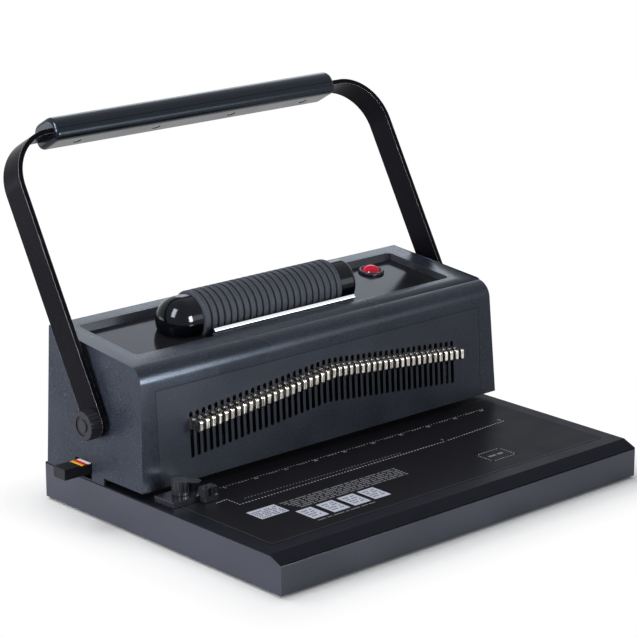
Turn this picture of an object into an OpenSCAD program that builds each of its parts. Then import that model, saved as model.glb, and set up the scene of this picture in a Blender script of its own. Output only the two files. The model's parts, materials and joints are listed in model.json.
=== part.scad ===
// Coil binding machine: a lever punch with a staggered row of pins, and a powered roller that winds coils in.
// Millimetres. X runs along the row of pins, Y to the back, Z up. The origin lies on the table, under the
// middle of the base.

/* [Base] */
// Width of the base, side to side
base_w = 388; // [380:1:430]
// Depth of the base, front to back
base_d = 286; // [276:1:320]
// Height of the base from its lower edge to the deck
base_h = 29.4; // [28:0.1:36]
// Wall of the base shell
base_wall = 2.5; // [2:0.1:3]
// Thickness of the deck cover
deck_t = 1.5; // [1.2:0.1:2]
// Run of the sloping nose, front to back
nose_run = 12; // [6:0.5:18]
// Fall of the sloping nose
nose_drop = 4.9; // [2:0.1:8]
// Thickness of the panel let into the deck
panel_t = 0.8; // [0.5:0.1:1]
// Margin between the panel and the sides of the deck
panel_side = 13.5; // [10:0.5:20]
// Margin between the panel and the front of the deck
panel_front = 25.5; // [20:0.5:40]
// Thickness of the base plate
plate_t = 1.5; // [1:0.1:2]
// Diameter of a rubber foot
foot_d = 22; // [16:1:28]
// Height of a rubber foot
foot_h = 5; // [4:0.1:6]
// How far a foot stands below the base
foot_proud = 1.5; // [1:0.1:3]
// Distance of a foot's centre from the edges of the base
foot_inset = 26; // [22:1:40]

/* [Chip drawer] */
// Width of the drawer, front to back
drawer_d = 42; // [36:1:46]
// Length of the drawer, in from the right-hand side
drawer_len = 355; // [320:1:366]
// Wall of the drawer
drawer_wall = 1.6; // [1.2:0.1:2]
// Radius of the finger notch in the drawer's face
drawer_notch = 8; // [6:0.5:10]

/* [Housing] */
// Length of the deck in front of the housing
table_d = 160; // [150:1:170]
// Height of the housing's back edge above the deck
housing_h = 113.95; // [110:0.5:125]
// Distance from the housing's back to the back of the base
back_inset = 3.7; // [3:0.1:8]
// How far the housing overhangs the base on each side
side_overhang = 0.5; // [0.1:0.1:1]
// Slope of the top, down to the front, in degrees
top_slope = 5.71; // [3:0.1:8]
// Lean of the front, in degrees
front_lean = 3.39; // [2:0.1:5]
// Draft of the sides, in degrees
side_draft = 2.65; // [1.5:0.05:3.2]
// Radius of the rounded upper front edge
brow_r = 14; // [8:0.5:18]
// Thickness of the housing's sheet
sheet = 2; // [1.5:0.1:2.5]
// Height of the paper throat
throat_gap = 6.1; // [5.8:0.1:8]
// Depth of the throat at the sides of the housing
throat_d = 48.3; // [46:0.1:52]
// Width of the slotted front panel
front_w = 352; // [330:1:356]
// Height of the front panel's upper edge above the deck
front_top = 83.6; // [80:0.1:86]
// Gap round a panel that is let in
seam = 0.25; // [0.2:0.05:0.4]

/* [Punch] */
// Number of punch pins
pin_count = 46; // [40:2:46]
// Spacing of the pins
pin_pitch = 6.35; // [6:0.05:6.35]
// Diameter of a pin
pin_d = 4; // [3.4:0.1:4.4]
// Diameter of a pin's head
head_d = 5.4; // [5:0.1:5.6]
// Distance of the pins behind the front edge of the throat
pin_back = 14; // [13:0.1:16]
// Width of a slot
slot_w = 3.5; // [3.4:0.05:3.8]
// Length of a slot
slot_len = 37; // [36.5:0.1:38]
// Height of the tallest slot's top above the deck
slot_mid = 74.26; // [74:0.1:76]
// How much lower the outermost slots lie
gable_drop = 13.66; // [10:0.1:14]
// Thickness of a pull hook
hook_t = 3.2; // [2.6:0.1:3.3]
// Height of a pull hook
hook_h = 9; // [8:0.1:9.4]
// How far a hook stands out of the front
hook_out = 13; // [8:0.5:16]
// Distance from the top of a slot to its hook
hook_sink = 4.5; // [4:0.1:4.8]
// Thickness of the guide plate
guide_t = 9; // [8:0.1:9.5]
// Thickness of the die plate
die_t = 8; // [7:0.1:9]
// Height of the punch bar's top above the deck
bar_top = 84.6; // [83:0.1:86]
// Diameter of a guide rod
rod_d = 8; // [7:0.1:9]
// Diameter of the return springs' wire
wire_d = 1.2; // [1:0.1:1.5]
// Turns of a return spring
spring_turns = 10; // [7:1:11]

/* [Drive] */
// Distance of the shaft behind the front edge of the throat
shaft_back = 54; // [53:0.1:58]
// Height of the shaft above the deck
shaft_h = 51.1; // [50:0.1:53]
// Diameter of the shaft
shaft_d = 14; // [12:0.1:15]
// Teeth of a pinion
gear_teeth = 18; // [18:2:20]
// Module of the pinions and racks
gear_module = 1.5; // [1.4:0.05:1.5]
// Width of a pinion
gear_w = 10; // [8:0.1:10]
// Width of a rack
rack_w = 8; // [6:0.1:9]
// Thickness of a side frame
frame_t = 4; // [3:0.1:5]

/* [Handle] */
// Lean of the handle at rest, in degrees
handle_lean = 29.6; // [20:0.1:35]
// Distance from the pivot to the middle of the strap's bridge
handle_len = 233.5; // [220:0.5:250]
// Width of the strap
strap_w = 24; // [20:0.5:26]
// Thickness of the strap
strap_t = 4; // [3:0.1:5]
// Outer radius of the strap's bends
bend_r = 42; // [30:1:50]
// Gap between the strap and the widest part of the housing
strap_gap = 0.5; // [0.4:0.1:2]
// Length of the grip
grip_len = 300; // [280:1:320]
// How far the grip sits off the middle
grip_shift = -3; // [-11:1:11]
// Width of the grip
grip_w = 32; // [30:0.5:40]
// Height of the grip above the strap's middle
grip_above = 12; // [10:0.5:14]
// Depth of the grip below the strap's middle
grip_below = 9; // [9:0.5:11]
// Rounding of the grip's ends
grip_round = 3.5; // [2:0.5:5]
// Spacing of the grip screws
grip_screw_pitch = 81; // [60:1:84]
// Diameter of a knob
knob_d = 24; // [20:0.5:28]
// Length of a knob
knob_len = 10.7; // [8:0.1:14]
// Flutes round a knob
knob_flutes = 20; // [12:1:28]

/* [Inserter] */
// Width of the top recess
recess_w = 341.5; // [320:0.5:345]
// Length of the recess along the slope
recess_len = 75.9; // [72:0.1:78]
// Distance of the recess from the back edge, along the slope
recess_back = 12.8; // [11:0.1:14]
// Depth of the recess
recess_depth = 5.6; // [5:0.1:7]
// How far the recess narrows at each end, top to floor
recess_taper = 1; // [0.5:0.1:3]
// How far the recess narrows at its front and back, top to floor
recess_fall = 3.5; // [2:0.1:4]
// Radius of the recess's corners, seen from above
recess_corner = 5; // [3:0.5:8]
// Wall of the recess liner
liner_t = 2; // [1.5:0.1:2.5]
// Radius of the roller over its ribs
roller_r = 21.7; // [20:0.1:22]
// Length of the roller sleeve
roller_len = 148.6; // [120:0.1:150]
// Middle of the roller, left of the machine's middle
roller_x = 15; // [10:0.1:20]
// Distance of the roller's axis in front of the housing's back
roller_back = 52.3; // [51:0.1:54]
// Height of the roller's axis above the recess floor
roller_rise = 9; // [8.5:0.1:11]
// Ribs of the sleeve
rib_count = 22; // [12:1:26]
// Depth of the grooves between the ribs
rib_depth = 2; // [1:0.1:2.5]
// Width of the grooves between the ribs
rib_gap = 1.6; // [1:0.1:2.4]
// Radius of the end caps
cap_r = 19.5; // [19:0.1:20]
// Length of the left end cap
cap_len = 28.4; // [26:0.1:34]
// Length of the right end cap
collar_len = 18.4; // [17:0.1:22]
// Length of the chrome rail
rail_len = 152; // [120:1:156]
// Distance of the button's middle from the right-hand end of the recess
button_in = 38.4; // [32:0.1:42]
// Distance of the button from the back edge, along the slope
button_back = 31.2; // [28.5:0.1:32]
// Diameter of the button's dome
button_d = 15.7; // [12:0.1:17]
// Height of the button's dome
dome_h = 4.6; // [3:0.1:6]

/* [Controls] */
// Width of the selector bar
selector_w = 14.5; // [12:0.1:16]
// Height of the selector bar
selector_h = 8.8; // [8:0.1:10]
// How far the selector bar stands out of the side
selector_out = 24.5; // [16:0.5:30]
// Distance of the selector behind the front edge of the throat
selector_back = 73.25; // [72:0.05:76]
// Travel of the selector bar
selector_travel = 12; // [8:0.5:12]
// Travel of the depth stop
stop_travel = 4; // [2:0.1:4.5]
// Length of the edge guide's plate
edge_w = 39; // [34:0.5:44]
// Depth of the edge guide's plate
edge_d = 23; // [20:0.5:26]
// Thickness of the edge guide's plate
edge_t = 4.5; // [3:0.1:6]
// Height of the edge guide's stop post
post_h = 11; // [8:0.1:14]
// Diameter of the edge guide's clamp knob
clamp_d = 13.4; // [10:0.1:15]
// Height of the edge guide's clamp knob
clamp_h = 11.5; // [8:0.1:14]
// Length of the slot that the edge guide runs in
track_len = 44; // [30:0.5:48]

/* [Hidden] */
$fn = 64;

// Clearances: a turning or sliding fit, a loose sliding way, a fixed seat
run_fit = 0.05;
slide_fit = 0.3;
seat_fit = 0.02;
// Overshoot of a cut past the face that it opens
cut = 1;
// A length longer than the machine, for half-spaces
far = 600;

// Levels of the base
deck_z = foot_proud + base_h;
shell_top = deck_z - deck_t;
shell_under = shell_top - base_wall;
plate_top = foot_h + plate_t;
front_y = -base_d / 2;
rear_y = base_d / 2;
// Room beside the punched row for the end of the holder, a guide rod, a pinion and a side frame
row_half = (pin_count - 1) / 2 * pin_pitch;
row_gap = 0.5;
hold_in = 8;
rod_in = 10.5;
gear_gap = 1;
bush_flange = 2.5;
frame_gap = 8.5;
row_side = head_d / 2 + row_gap + hold_in + rod_in + gear_w + gear_gap + bush_flange + frame_t + frame_gap;
// The base and housing widen where a wider recess with its rims, or a longer row, asks for it
recess_rim = 16;
side_x = max(base_w / 2, recess_w / 2 + recess_rim, row_half + row_side - side_overhang);

// Places of the housing
throat_y = front_y + table_d;
throat_z = deck_z + throat_gap;
step_y = throat_y + throat_d;
back_y = rear_y - back_inset;
housing_half = side_x + side_overhang;
top_back_z = deck_z + housing_h;
front_n = [cos(front_lean), -sin(front_lean)];
top_n = [sin(top_slope), -cos(top_slope)];
front_k = front_n * [throat_y, throat_z];
top_k = top_n * [back_y, top_back_z];
brow_c = crossing(front_n, front_k + brow_r, top_n, top_k + brow_r);
front_t = sheet;
screw_in = 11;
screw_nose = 6;
base_screw_d = 3.4;
base_screw_len = 12;
base_head_d = 6.5;
base_head_h = 2;
boss_d = 9;
rear_margin = 26;
rear_foot = 6;
rear_head = 10;
rear_low = deck_z + rear_foot;
rear_high = top_back_z - rear_head;
rear_lap = 10;
rear_screw_d = 3;
rear_screw_len = 6;
rear_screw_head = 6;
rear_screw_head_h = 1.8;
cover_t = 1.2;
inlet_x = 120;
inlet_up = 34;
inlet_z = deck_z + inlet_up;
inlet_w = 28;
inlet_h = 20;

// Places of the chip drawer
drawer_front = 18;
drawer_y0 = throat_y + pin_back - drawer_front;
drawer_y1 = drawer_y0 + drawer_d;
drawer_z0 = plate_top + slide_fit;
drawer_z1 = deck_z - die_t - cut;

// Places of the punch
pin_y = throat_y + pin_back;
head_h = 3;
head_gap = 0.4;
press_gap = 0.1;
hole_gap = 0.1;
roof_gap = press_gap + gable_drop / row_half * hook_t / 2;
holder_t = 5;
guide_top = throat_z + guide_t;
pin_rest = 0.5;
pin_len = hook_low(row_half) - press_gap - throat_z - pin_rest;
die_front = 9;
die_rear = 33;
die_y0 = pin_y - die_front;
die_y1 = pin_y + die_rear;
bolt_d = 5;
bolt_head_d = 8.5;
bolt_head_h = 4;
spacer_w = 10;
spacer_back = 19;
spacer_y0 = pin_y + spacer_back;
spacer_d = 12;

// Places of the drive
shaft_y = throat_y + shaft_back;
shaft_z = deck_z + shaft_h;
pitch_r = gear_module * gear_teeth / 2;
tooth_pitch = PI * gear_module;
tooth_play = 0.2;
pressure_angle = 20;
handle_swing = 93;
stroke = pitch_r * handle_swing * PI / 180;
frame_out = housing_half - frame_gap;
frame_in = frame_out - frame_t;
frame_back = 12;
bolt_in = 9;
bolt_back = 22;
frame_bolt_len = 14;
bush_wall = 3;
bush_r = shaft_d / 2 + bush_wall;
gear_x = frame_in - bush_flange - gear_gap - gear_w;
rack_x = gear_x + (gear_w - rack_w) / 2;
rack_y = shaft_y - pitch_r;
rack_t = 6;
rack_back = rack_y - rack_t;
bar_end_gap = 0.5;
bar_half = gear_x + gear_w - bar_end_gap;
bar_lead = 6;
bar_front = pin_y - bar_lead;
rod_x = gear_x - rod_in;
rod_back = 10;
rod_y = pin_y + rod_back;
rod_seat = 6;
rod_over = 4;
hold_half = rod_x - hold_in;
hold_back = 7;
end_low = guide_top + stroke + cut;
spring_gap = 2;
spring_r = rod_d / 2 + spring_gap;
pocket_gap = 0.8;
pocket_r = spring_r + wire_d / 2 + pocket_gap;
pocket_roof = 14;
pocket_top = deck_z + bar_top - pocket_roof;
tongue_in = 32;
tongue_x = frame_in - tongue_in;
tongue_w = 30;
spacer_x = tongue_w / 2 + slide_fit + spacer_w / 2;

// Places of the handle
strap_in = housing_half + strap_gap;
strap_out = strap_in + strap_t;
bend_x = strap_out - bend_r;
bend_u = handle_len + strap_t / 2 - bend_r;
key_r = 6;
key_w = 9;
stud_r = 4;
stud_len = 16;
collar_t = 1.5;
collar_wall = 4;
key_short = 0.2;
grip_screw_d = 3.6;
grip_head_d = 6.4;
grip_head_h = 2.4;
grip_head_sink = 3;
grip_skin = 3;
grip_seam = 0.15;
grip_top_r = 10;
grip_low_r = 7;

// Places of the inserter
liner_under = recess_depth + liner_t;
button_x = recess_w / 2 - button_in;
roller_y = back_y - roller_back;
roller_z = floor_at(roller_y) + roller_rise;
roller_l = -roller_x - roller_len / 2;
roller_r_end = -roller_x + roller_len / 2;
cap_gap = 0.6;
cap_l = roller_l - cap_gap - cap_len;
collar_r = roller_r_end + cap_gap + collar_len;
cap_wall = 2.2;
collar_round = 5;
sleeve_t = 3;
core_r = roller_r - rib_depth - sleeve_t;
axle_r = 5;
bearing_r = 8.5;
bearing_w = 6;
drive_gear_teeth = 30;
drive_gear_module = 1;
drive_gear_w = 8;
drive_gear_r = drive_gear_teeth * drive_gear_module / 2;
drive_gear_in = 2.6;
drive_gear_x = roller_r_end + cap_gap + drive_gear_in;
motor_z = roller_z - 2 * drive_gear_r;
motor_r = 13.5;
motor_len = 54;
motor_plate_t = 2;
motor_gap = 4;
motor_x = drive_gear_x + drive_gear_w + motor_gap;
motor_shaft_r = 4;
motor_tail = 8;
rail_gap = 5;
rail_y = roller_y - roller_r - rail_gap;
rail_t = 1.2;
rail_lip = 3.8;
rail_low = 4;
rail_top = roller_z - rail_low;
bead_r = 1.5;
bead_fall = 0.8;
rail_shift = 5;
bezel_r = 11.2;
neck_r = 9.8;
bezel_t = 2.6;
neck_below = 1.5;
neck_low = liner_under + neck_below;

// Places of the controls
selector_y = throat_y + selector_back;
selector_fall = 0.7;
selector_z = deck_z + throat_gap - selector_fall;
selector_l = -housing_half - selector_out;
selector_in = 55;
selector_len = selector_out + selector_in;
stop_z = deck_z + slide_fit;
stop_t = 4.5;
stop_back = 8;
stop_y = pin_y + stop_back;
stop_d = 5;
peg_r = 2.5;
peg_out = 8;
peg_x = -tongue_x - peg_out;
peg_gap = 0.5;
edge_in = 7;
edge_x = -side_x + edge_in;
edge_gap = 5.5;
edge_y = throat_y - edge_gap;
edge_z = deck_z + slide_fit;
track_front = 16;
track_y = throat_y - track_front;
track_lead = 5;
clamp_in = 17;
clamp_x = edge_x + clamp_in;
clamp_flutes = 14;
clamp_stud_r = 2.5;
track_w = 2 * clamp_stud_r + 2 * slide_fit;
nut_w = 10;
nut_t = 3;

// Point where two straight lines, each given by its normal and distance, cross
function crossing(n, k, m, j) =
    let (det = n.x * m.y - n.y * m.x) [(k * m.y - j * n.y) / det, (n.x * j - m.x * k) / det];
// Front plane set in by a wall, at a height
function front_at(z, inset = 0) = (front_k + inset + sin(front_lean) * z) / cos(front_lean);
// Top plane set in by a wall, at a depth
function top_at(y, inset = 0) = (sin(top_slope) * y - top_k - inset) / cos(top_slope);
// Floor of the top recess, at a depth
function floor_at(y) = top_at(y, recess_depth);
// Half width of the housing at a height
function half_at(z, inset = 0) = housing_half - tan(side_draft) * (z - deck_z) - inset / cos(side_draft);
// Place along the row, and the heights that follow the gable
function pin_x(i) = (i - (pin_count - 1) / 2) * pin_pitch;
function slot_top(x) = deck_z + slot_mid - gable_drop * abs(x) / row_half;
function hook_top(x) = slot_top(x) - hook_sink;
function hook_low(x) = hook_top(x) - hook_h;
function holder_top(x) = hook_low(x) - press_gap - head_h - head_gap;
// Involute of the pressure angle, in degrees
function involute(a) = tan(a) * 180 / PI - a;
// Half the angle that a tooth spans at a radius
function tooth_half(m, n, r) =
    let (pitch = m * n / 2, base = pitch * cos(pressure_angle), play = tooth_play / 2 / pitch * 180 / PI)
    90 / n - play / 2 + involute(pressure_angle) - involute(acos(min(1, base / r)));

// Extrudes a Y-Z outline along X, an X-Z outline along Y, and an X-Y outline along Z
module along_x(x0, x1) translate([x0, 0, 0]) rotate([90, 0, 90]) linear_extrude(x1 - x0) children();
module along_y(y0, y1) translate([0, y1, 0]) rotate([90, 0, 0]) linear_extrude(y1 - y0) children();
module along_z(z0, z1) translate([0, 0, z0]) linear_extrude(z1 - z0) children();
// Box between two corners
module block(a, b) translate(a) cube(b - a);
// Rod along X
module rod_x_to(x0, x1, y, z, r) translate([x0, y, z]) rotate([0, 90, 0]) cylinder(h = x1 - x0, r = r);
// The children as made for the right-hand side, on either side, or on both
module on_side(s) mirror([s < 0 ? 1 : 0, 0, 0]) children();
module on_both() {
    children();
    mirror([1, 0, 0]) children();
}
// Slot with round ends between two points
module slot_outline(a, b, w) {
    d = b - a;
    translate(a) rotate(atan2(d.y, d.x)) {
        circle(d = w);
        translate([norm(d), 0]) circle(d = w);
        translate([0, -w / 2]) square([norm(d), w]);
    }
}
// Spur gear outline with involute flanks
module gear_outline(m, n) {
    pitch = m * n / 2;
    root = pitch - 1.25 * m;
    start = max(root, pitch * cos(pressure_angle));
    flank = [for (k = [0 : 5]) start + (pitch + m - start) * k / 5];
    points = [
        for (t = [0 : n - 1]) each concat(
            [[root, t * 360 / n - tooth_half(m, n, start)]],
            [for (r = flank) [r, t * 360 / n - tooth_half(m, n, r)]],
            [for (k = [5 : -1 : 0]) [flank[k], t * 360 / n + tooth_half(m, n, flank[k])]],
            [[root, t * 360 / n + tooth_half(m, n, start)]])
    ];
    polygon([for (p = points) p[0] * [cos(p[1]), sin(p[1])]]);
}
// Screw with a cylindrical head that points along +Z
module screw(d, len, head_d, head_h) {
    rotate_extrude()
        polygon([[0, -len], [d / 2, -len], [d / 2, 0], [head_d / 2, 0], [head_d / 2, head_h], [0, head_h]]);
}

// Base
module base_outline(low, top, inset) {
    nose = top - nose_drop * (1 - inset / nose_run);
    polygon([[front_y + inset, low], [rear_y - inset, low], [rear_y - inset, top],
             [front_y + nose_run, top], [front_y + inset, nose]]);
}
module at_base_screws() {
    for (x = [-side_x + screw_in, 0, side_x - screw_in])
        for (y = [front_y + screw_in + screw_nose, rear_y - screw_in]) translate([x, y, 0]) children();
}
module at_frame_bolts() {
    for (x = [-1, 1])
        translate([x * (frame_in - bolt_in), back_y - bolt_back, 0]) children();
}
module track_outline() {
    start = clamp_x - track_lead;
    slot_outline([start, track_y], [start + track_len - track_w, track_y], track_w);
}
module die_outline(gap) {
    translate([-bar_half - gap, die_y0 - gap]) square([2 * (bar_half + gap), die_y1 - die_y0 + 2 * gap]);
}
module base_shell() {
    color("#44454f") {
        difference() {
            along_x(-side_x, side_x) base_outline(foot_proud, shell_top, 0);
            along_x(-side_x + base_wall, side_x - base_wall)
                base_outline(foot_proud - cut, shell_under, base_wall);
            along_z(shell_under - cut, shell_top + cut) {
                die_outline(seam);
                track_outline();
                at_frame_bolts() circle(d = bolt_d + 2 * run_fit);
            }
            block([side_x - base_wall - cut, drawer_y0 - slide_fit, plate_top],
                  [side_x + cut, drawer_y1 + slide_fit, drawer_z1 + slide_fit]);
        }
        at_base_screws() along_z(plate_top, shell_under) difference() {
            circle(d = boss_d);
            circle(d = base_screw_d + 2 * run_fit);
        }
    }
}
module panel_outline(gap) {
    die_gap = 6;
    panel_back = die_y0 - die_gap;
    translate([-side_x + panel_side - gap, front_y + panel_front - gap])
        square([2 * (side_x - panel_side + gap), panel_back - front_y - panel_front + 2 * gap]);
}
module deck_cover() {
    color("#1d1e22") difference() {
        along_x(-side_x, side_x)
            polygon([[front_y, shell_top - nose_drop], [front_y + nose_run, shell_top], [rear_y, shell_top],
                     [rear_y, deck_z], [front_y + nose_run, deck_z], [front_y, deck_z - nose_drop]]);
        along_z(shell_top - cut, deck_z + cut) {
            die_outline(seam);
            track_outline();
            at_frame_bolts() circle(d = bolt_d + 2 * run_fit);
        }
        along_z(deck_z - panel_t, deck_z + cut) panel_outline(seam);
    }
}
module tray_panel() {
    color("#222327") along_z(deck_z - panel_t, deck_z) difference() {
        panel_outline(0);
        track_outline();
    }
}
module base_plate() {
    gap = base_wall + seam;
    color("#3a3b40") along_z(foot_h, plate_top) difference() {
        translate([-side_x + gap, front_y + gap]) square([2 * (side_x - gap), base_d - 2 * gap]);
        at_base_screws() circle(d = base_screw_d + 2 * run_fit);
    }
}
module rubber_feet() {
    edge = 1.5;
    color("#141414")
        for (x = [-1, 1]) for (y = [-1, 1])
            translate([x * (side_x - foot_inset), y * (rear_y - foot_inset), 0]) rotate_extrude()
                polygon([[0, 0], [foot_d / 2 - edge, 0], [foot_d / 2, foot_h], [0, foot_h]]);
}
module base_screws() {
    color("#8b8d90") at_base_screws() translate([0, 0, foot_h]) rotate([180, 0, 0])
        screw(base_screw_d, base_screw_len, base_head_d, base_head_h);
}

// Chip drawer, which leaves the base on the right
module chip_drawer() {
    inner = drawer_wall;
    color("#26272b") difference() {
        block([side_x - drawer_len, drawer_y0, drawer_z0], [side_x, drawer_y1, drawer_z1]);
        block([side_x - drawer_len + inner, drawer_y0 + inner, drawer_z0 + inner],
              [side_x - inner, drawer_y1 - inner, drawer_z1 + cut]);
        rod_x_to(side_x - inner - cut, side_x + cut, (drawer_y0 + drawer_y1) / 2, drawer_z1, drawer_notch);
    }
}

// Housing
module housing_outline(inset, front_low, back_low) {
    polygon([[front_at(front_low, inset), front_low], brow_c - (brow_r - inset) * front_n,
             brow_c - (brow_r - inset) * top_n, [back_y - inset, top_at(back_y - inset, inset)],
             [back_y - inset, back_low], [step_y, back_low], [step_y, front_low]]);
    translate(brow_c) circle(r = brow_r - inset);
}
module housing_form(inset, front_low, back_low) {
    low = min(front_low, back_low);
    high = top_back_z + cut;
    intersection() {
        along_x(-housing_half - cut, housing_half + cut) housing_outline(inset, front_low, back_low);
        along_y(throat_y - cut, back_y + cut)
            polygon([[-half_at(low, inset), low], [half_at(low, inset), low],
                     [half_at(high, inset), high], [-half_at(high, inset), high]]);
    }
}
// Frame of the sloping top, with its origin in the middle of the back edge
module on_top() translate([0, back_y, top_back_z]) rotate([top_slope, 0, 0]) children();
// Section of the recess, which narrows to its floor
module recess_outline(half, fall) {
    polygon([[-half, cut], [-half, 0], [fall - half, -recess_depth],
             [half - fall, -recess_depth], [half, 0], [half, cut]]);
}
// Recess seen from above
module recess_opening(gap) {
    r = recess_corner + gap;
    w = recess_w + 2 * gap;
    d = recess_len + 2 * gap;
    translate([-w / 2, -recess_back - recess_len - gap]) {
        translate([r, 0]) square([w - 2 * r, d]);
        translate([0, r]) square([w, d - 2 * r]);
        for (x = [r, w - r]) for (y = [r, d - r]) translate([x, y]) circle(r = r);
    }
}
module housing_shell() {
    room_front = 2;
    room_back = 5;
    room_top = 0.6;
    sill = 1;
    bore_gap = 2;
    window_y = [selector_y - selector_w / 2 - room_front, selector_y + selector_w / 2 + room_back];
    window_z = [deck_z + sill, selector_z + selector_h + room_top];
    color("#3d4049") difference() {
        housing_form(0, throat_z, deck_z);
        housing_form(sheet, deck_z - cut, deck_z - cut);
        along_y(throat_y - cut, brow_c.x)
            translate([-front_w / 2 - seam, throat_z - cut])
                square([front_w + 2 * seam, deck_z + front_top - throat_z + seam + cut]);
        on_top() along_z(-sheet - cut, cut) recess_opening(liner_t + seam);
        on_both() rod_x_to(frame_out, housing_half + cut, shaft_y, shaft_z, shaft_d / 2 + bore_gap);
        block([-housing_half - cut, window_y[0], window_z[0]], [-frame_out - cut, window_y[1], window_z[1]]);
        along_y(back_y - sheet - cut, back_y + cut) {
            rear_outline(-rear_lap);
            at_rear_screws() circle(d = rear_screw_d + 2 * run_fit);
        }
    }
}
module rear_outline(grow) {
    translate([-housing_half + rear_margin - grow, rear_low - grow])
        square([2 * (housing_half - rear_margin + grow), rear_high - rear_low + 2 * grow]);
}
module front_panel() {
    low = throat_z;
    high = deck_z + front_top;
    color("#3a3d46") difference() {
        along_x(-front_w / 2, front_w / 2)
            polygon([[front_at(low), low], [front_at(low, front_t), low],
                     [front_at(high, front_t), high], [front_at(high), high]]);
        along_y(throat_y - cut, front_at(high, front_t) + cut)
            for (i = [0 : pin_count - 1]) {
                top = slot_top(pin_x(i)) - slot_w / 2;
                slot_outline([pin_x(i), top - slot_len + slot_w], [pin_x(i), top], slot_w);
            }
    }
}
module at_rear_screws() {
    inset = 5;
    for (x = [-1, 0, 1]) for (z = [rear_low + inset, rear_high - inset])
        translate([x * (housing_half - rear_margin - inset), z]) children();
}
module inlet_outline(grow) translate([inlet_x, inlet_z])
    square([inlet_w + 2 * grow, inlet_h + 2 * grow], center = true);
module rear_cover() {
    vent_w = 3;
    vent_x = 50;
    vent_h = 62;
    vent_len = 26;
    vent_pitch = 8;
    color("#3a3d46") along_y(back_y, back_y + cover_t) difference() {
        rear_outline(0);
        inlet_outline(seam);
        at_rear_screws() circle(d = rear_screw_d + 2 * run_fit);
        for (k = [-8 : 8]) translate([k * vent_pitch - vent_x, deck_z + vent_h])
            slot_outline([0, -vent_len / 2], [0, vent_len / 2], vent_w);
    }
}
module rear_screws() {
    color("#8b8d90") translate([0, back_y + cover_t, 0]) rotate([90, 0, 0]) at_rear_screws()
        rotate([180, 0, 0]) screw(rear_screw_d, rear_screw_len, rear_screw_head, rear_screw_head_h);
}
module power_inlet() {
    depth = 22;
    well = 17;
    wall = 1.8;
    blade = [2, 4];
    blade_len = 13;
    blade_x = 7;
    blade_z = 2;
    flange = 2.5;
    flange_t = 1.8;
    mouth = back_y + cover_t + flange_t;
    color("#17181a") {
        difference() {
            union() {
                along_y(back_y + cover_t, mouth) inlet_outline(flange);
                along_y(mouth - depth, back_y + cover_t) inlet_outline(0);
            }
            along_y(mouth - well, mouth + cut) inlet_outline(-wall);
        }
        along_y(mouth - well, mouth - well + blade_len)
            for (k = [-1 : 1])
                translate([inlet_x + k * blade_x, inlet_z + blade_z * (1 - 2 * abs(k))])
                    square(blade, center = true);
    }
}

// Liner of the top recess, set into the housing from below
module recess_liner() {
    flange = 5;
    flange_t = 1.5;
    gear_room = 2.2;
    color("#26272b") difference() {
        on_top() difference() {
            union() {
                along_z(-liner_under, 0) recess_opening(liner_t);
                along_z(-sheet - flange_t, -sheet - seat_fit) recess_opening(liner_t + flange);
            }
            intersection() {
                along_y(-recess_back - recess_len, -recess_back) recess_outline(recess_w / 2, recess_taper);
                translate([0, -recess_back - recess_len / 2, 0]) along_x(-recess_w / 2, recess_w / 2)
                    recess_outline(recess_len / 2, recess_fall);
                along_z(-recess_depth - cut, 2 * cut) recess_opening(0);
            }
            translate([button_x, -button_back, -liner_under - cut])
                cylinder(h = liner_t + 2 * cut, r = neck_r + run_fit);
        }
        block([roller_l - cap_gap, roller_y - roller_r - cut, motor_z],
              [roller_r_end + cap_gap, roller_y + roller_r + cut, roller_z]);
        block([roller_r_end, roller_y - drive_gear_r - gear_room, motor_z],
              [drive_gear_x + drive_gear_w + cut, roller_y + drive_gear_r + gear_room, roller_z]);
    }
}

// Button in the recess
module at_button() on_top() translate([button_x, -button_back, 0]) children();
module button_bezel() {
    soft = 1;
    bore = button_d / 2 + slide_fit;
    high = bezel_t - recess_depth;
    color("#151517") at_button() rotate_extrude()
        polygon([[bore, -neck_low], [neck_r, -neck_low], [neck_r, -recess_depth], [bezel_r, -recess_depth],
                 [bezel_r, high - soft], [bezel_r - soft, high], [bore + soft, high], [bore, high - soft]]);
}
module button_cap() {
    a = button_d / 2;
    ball = (a * a + dome_h * dome_h) / 2 / dome_h;
    sink = 0.8;
    skirt = 0.5;
    rim = bezel_t - recess_depth - sink;
    color("#c8101c") at_button() rotate_extrude() {
        translate([0, -recess_depth - skirt]) square([a, rim + recess_depth + skirt]);
        intersection() {
            translate([0, rim + dome_h - ball]) circle(r = ball);
            translate([0, rim]) square([a, dome_h + cut]);
        }
    }
}
module button_switch() {
    body_len = 18;
    step = 0.3;
    color("#222222") at_button() translate([0, 0, -neck_low - body_len])
        cylinder(h = body_len, r = neck_r - step);
}

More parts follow.
